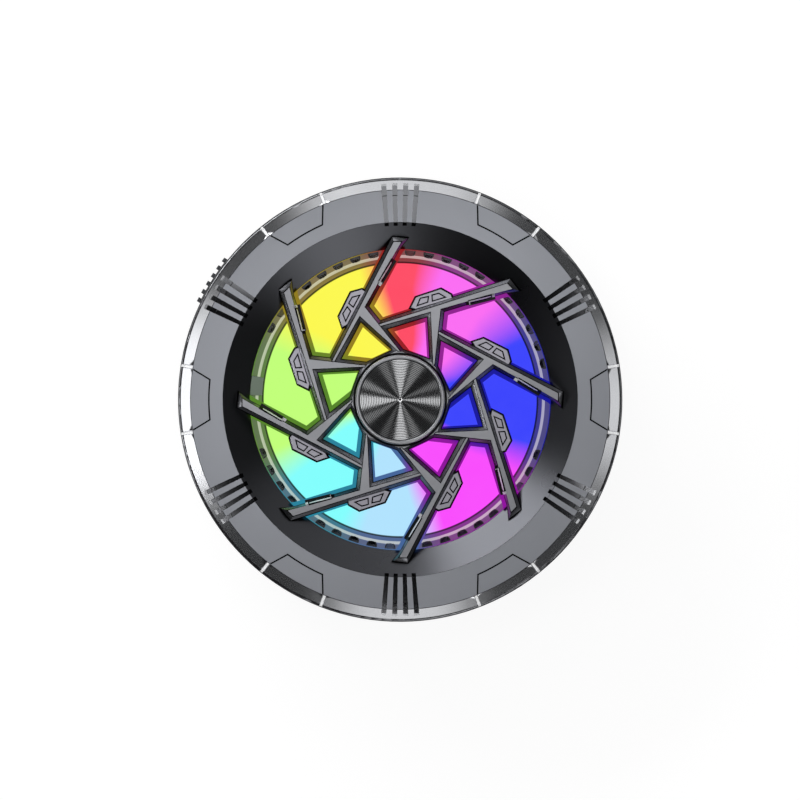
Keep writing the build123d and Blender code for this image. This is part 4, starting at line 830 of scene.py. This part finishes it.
def studioRoom():
    # a pale band at the horizon for low views, and a dim room above it, so that metal has dark to reflect
    look = roomLook
    world = bpy.data.worlds.new("studioRoom")
    bpy.context.scene.world = world
    world.use_nodes = True
    tree = world.node_tree
    direction = addNode(tree, "ShaderNodeTexCoord").outputs["Generated"]
    upward = addNode(tree, "ShaderNodeSeparateXYZ", {0: direction}).outputs["Z"]
    band = {"Value": upward, "From Min": look["bandTop"], "From Max": look["bandTop"] + look["bandSoft"],
            "To Min": look["horizon"], "To Max": look["dim"]}
    backdrop = tree.nodes["Background"]
    backdrop.inputs["Color"].default_value = look["colour"]
    tree.links.new(addNode(tree, "ShaderNodeMapRange", band).outputs["Result"], backdrop.inputs["Strength"])


softboxes = {  # azimuth, elevation in degrees; distance, width, height in metres; radiance; soft share of the width
    "left": (179.8, 11.9, 0.6, 0.785, 0.20, 2.08, 0.34),
    "top": (91.2, 12.3, 0.6, 0.8, 0.30, 1.1, 0.32),
    "right": (-2.3, 11.5, 0.6, 0.67, 0.21, 1.17, 0.44),
    "bottom": (270.4, 16, 0.6, 0.55, 0.19, 1.21, 0.36),
    "keyHigh": (126.4, 36.1, 0.42, 0.34, 0.09, 7.0, 0.14),
    "keySide": (66.9, 31.3, 0.6, 0.8, 0.19, 0.64, 0.04),
    "fillHigh": (293.1, 35.9, 0.6, 0.64, 0.16, 2.28, 0.5),
    "overhead": (116.9, 85.9, 0.22, 0.088, 0.039, 2.36, 0.02),
    "slotLight": (294.4, 78, 0.6, 0.184, 0.099, 1.45, 0.03),
    "lowLeft": (197, 4, 0.6, 0.16, 0.05, 15.0, 0.3),
    "lowTop": (107, 4, 0.6, 0.12, 0.05, 4.0, 0.3),
}
strips = {  # narrow lights round the spun cap, azimuth: (radiance, width)
    "elevation": 56, "distance": 0.6, "height": 0.09, "soft": 0.08,
    "each": {
        -2.6: (1.07, 0.073), 23: (0.25, 0.071), 62: (0.4, 0.105), 89.7: (1.09, 0.14), 116.6: (0.28, 0.083),
        156: (0.46, 0.07), 183.4: (1.19, 0.125), 210.7: (0.32, 0.083), 245: (0.15, 0.068), 271.5: (1.09, 0.113),
        294.3: (0.32, 0.081), 329: (0.16, 0.062),
    },
}


def addSoftbox(name, azimuth, elevation, distance, width, height, radiance, soft):
    # a rectangle that looks at the object and fades towards its two ends
    azimuth, elevation = math.radians(azimuth), math.radians(elevation)
    level = math.cos(elevation)
    towards = Vector((math.cos(azimuth) * level, math.sin(azimuth) * level, math.sin(elevation)))
    data = bpy.data.lights.new(name + "Softbox", "AREA")
    data.shape = "RECTANGLE"
    data.size, data.size_y = width, height
    data.energy = radiance * math.pi * width * height
    data.use_nodes = True
    tree = data.node_tree
    place = addNode(tree, "ShaderNodeNewGeometry").outputs["Parametric"]
    along = addNode(tree, "ShaderNodeSeparateXYZ", {0: place}).outputs["X"]
    near = smoothStep(tree, along, 0.0, soft)
    far = smoothStep(tree, along, 1.0, 1.0 - soft)
    tree.links.new(calc(tree, "MULTIPLY", near, far), tree.nodes["Emission"].inputs["Strength"])
    lamp = bpy.data.objects.new(name + "Softbox", data)
    lamp.location = Vector((0, 0, frontZ)) + towards * distance
    lamp.rotation_euler = towards.to_track_quat("Z", "Y").to_euler()
    lamp.visible_camera = False
    bpy.context.scene.collection.objects.link(lamp)


cameraLook = {"across": 122.27 * mm, "lens": 500.0, "sensor": 36.0, "asideX": -0.03 * mm, "asideY": -0.05 * mm}


def studioCamera():
    # straight above, from far enough away that the width of the photograph spans the sensor
    look = cameraLook
    data = bpy.data.cameras.new("studioCamera")
    data.lens, data.sensor_width, data.clip_end = look["lens"], look["sensor"], 20.0
    camera = bpy.data.objects.new("studioCamera", data)
    camera.location = (look["asideX"], look["asideY"], frontZ + look["across"] * look["lens"] / look["sensor"])
    bpy.context.scene.collection.objects.link(camera)
    bpy.context.scene.camera = camera
    return camera


studioFloor()
studioRoom()
for boxName, boxLook in softboxes.items():
    addSoftbox(boxName, *boxLook)
for stripAzimuth, (stripLevel, stripWidth) in strips["each"].items():
    addSoftbox("strip%d" % stripAzimuth, stripAzimuth, strips["elevation"], strips["distance"], stripWidth,
               strips["height"], stripLevel, strips["soft"])
studioCamera()
bpy.context.scene.view_settings.view_transform = "Standard"
print("studio ready")
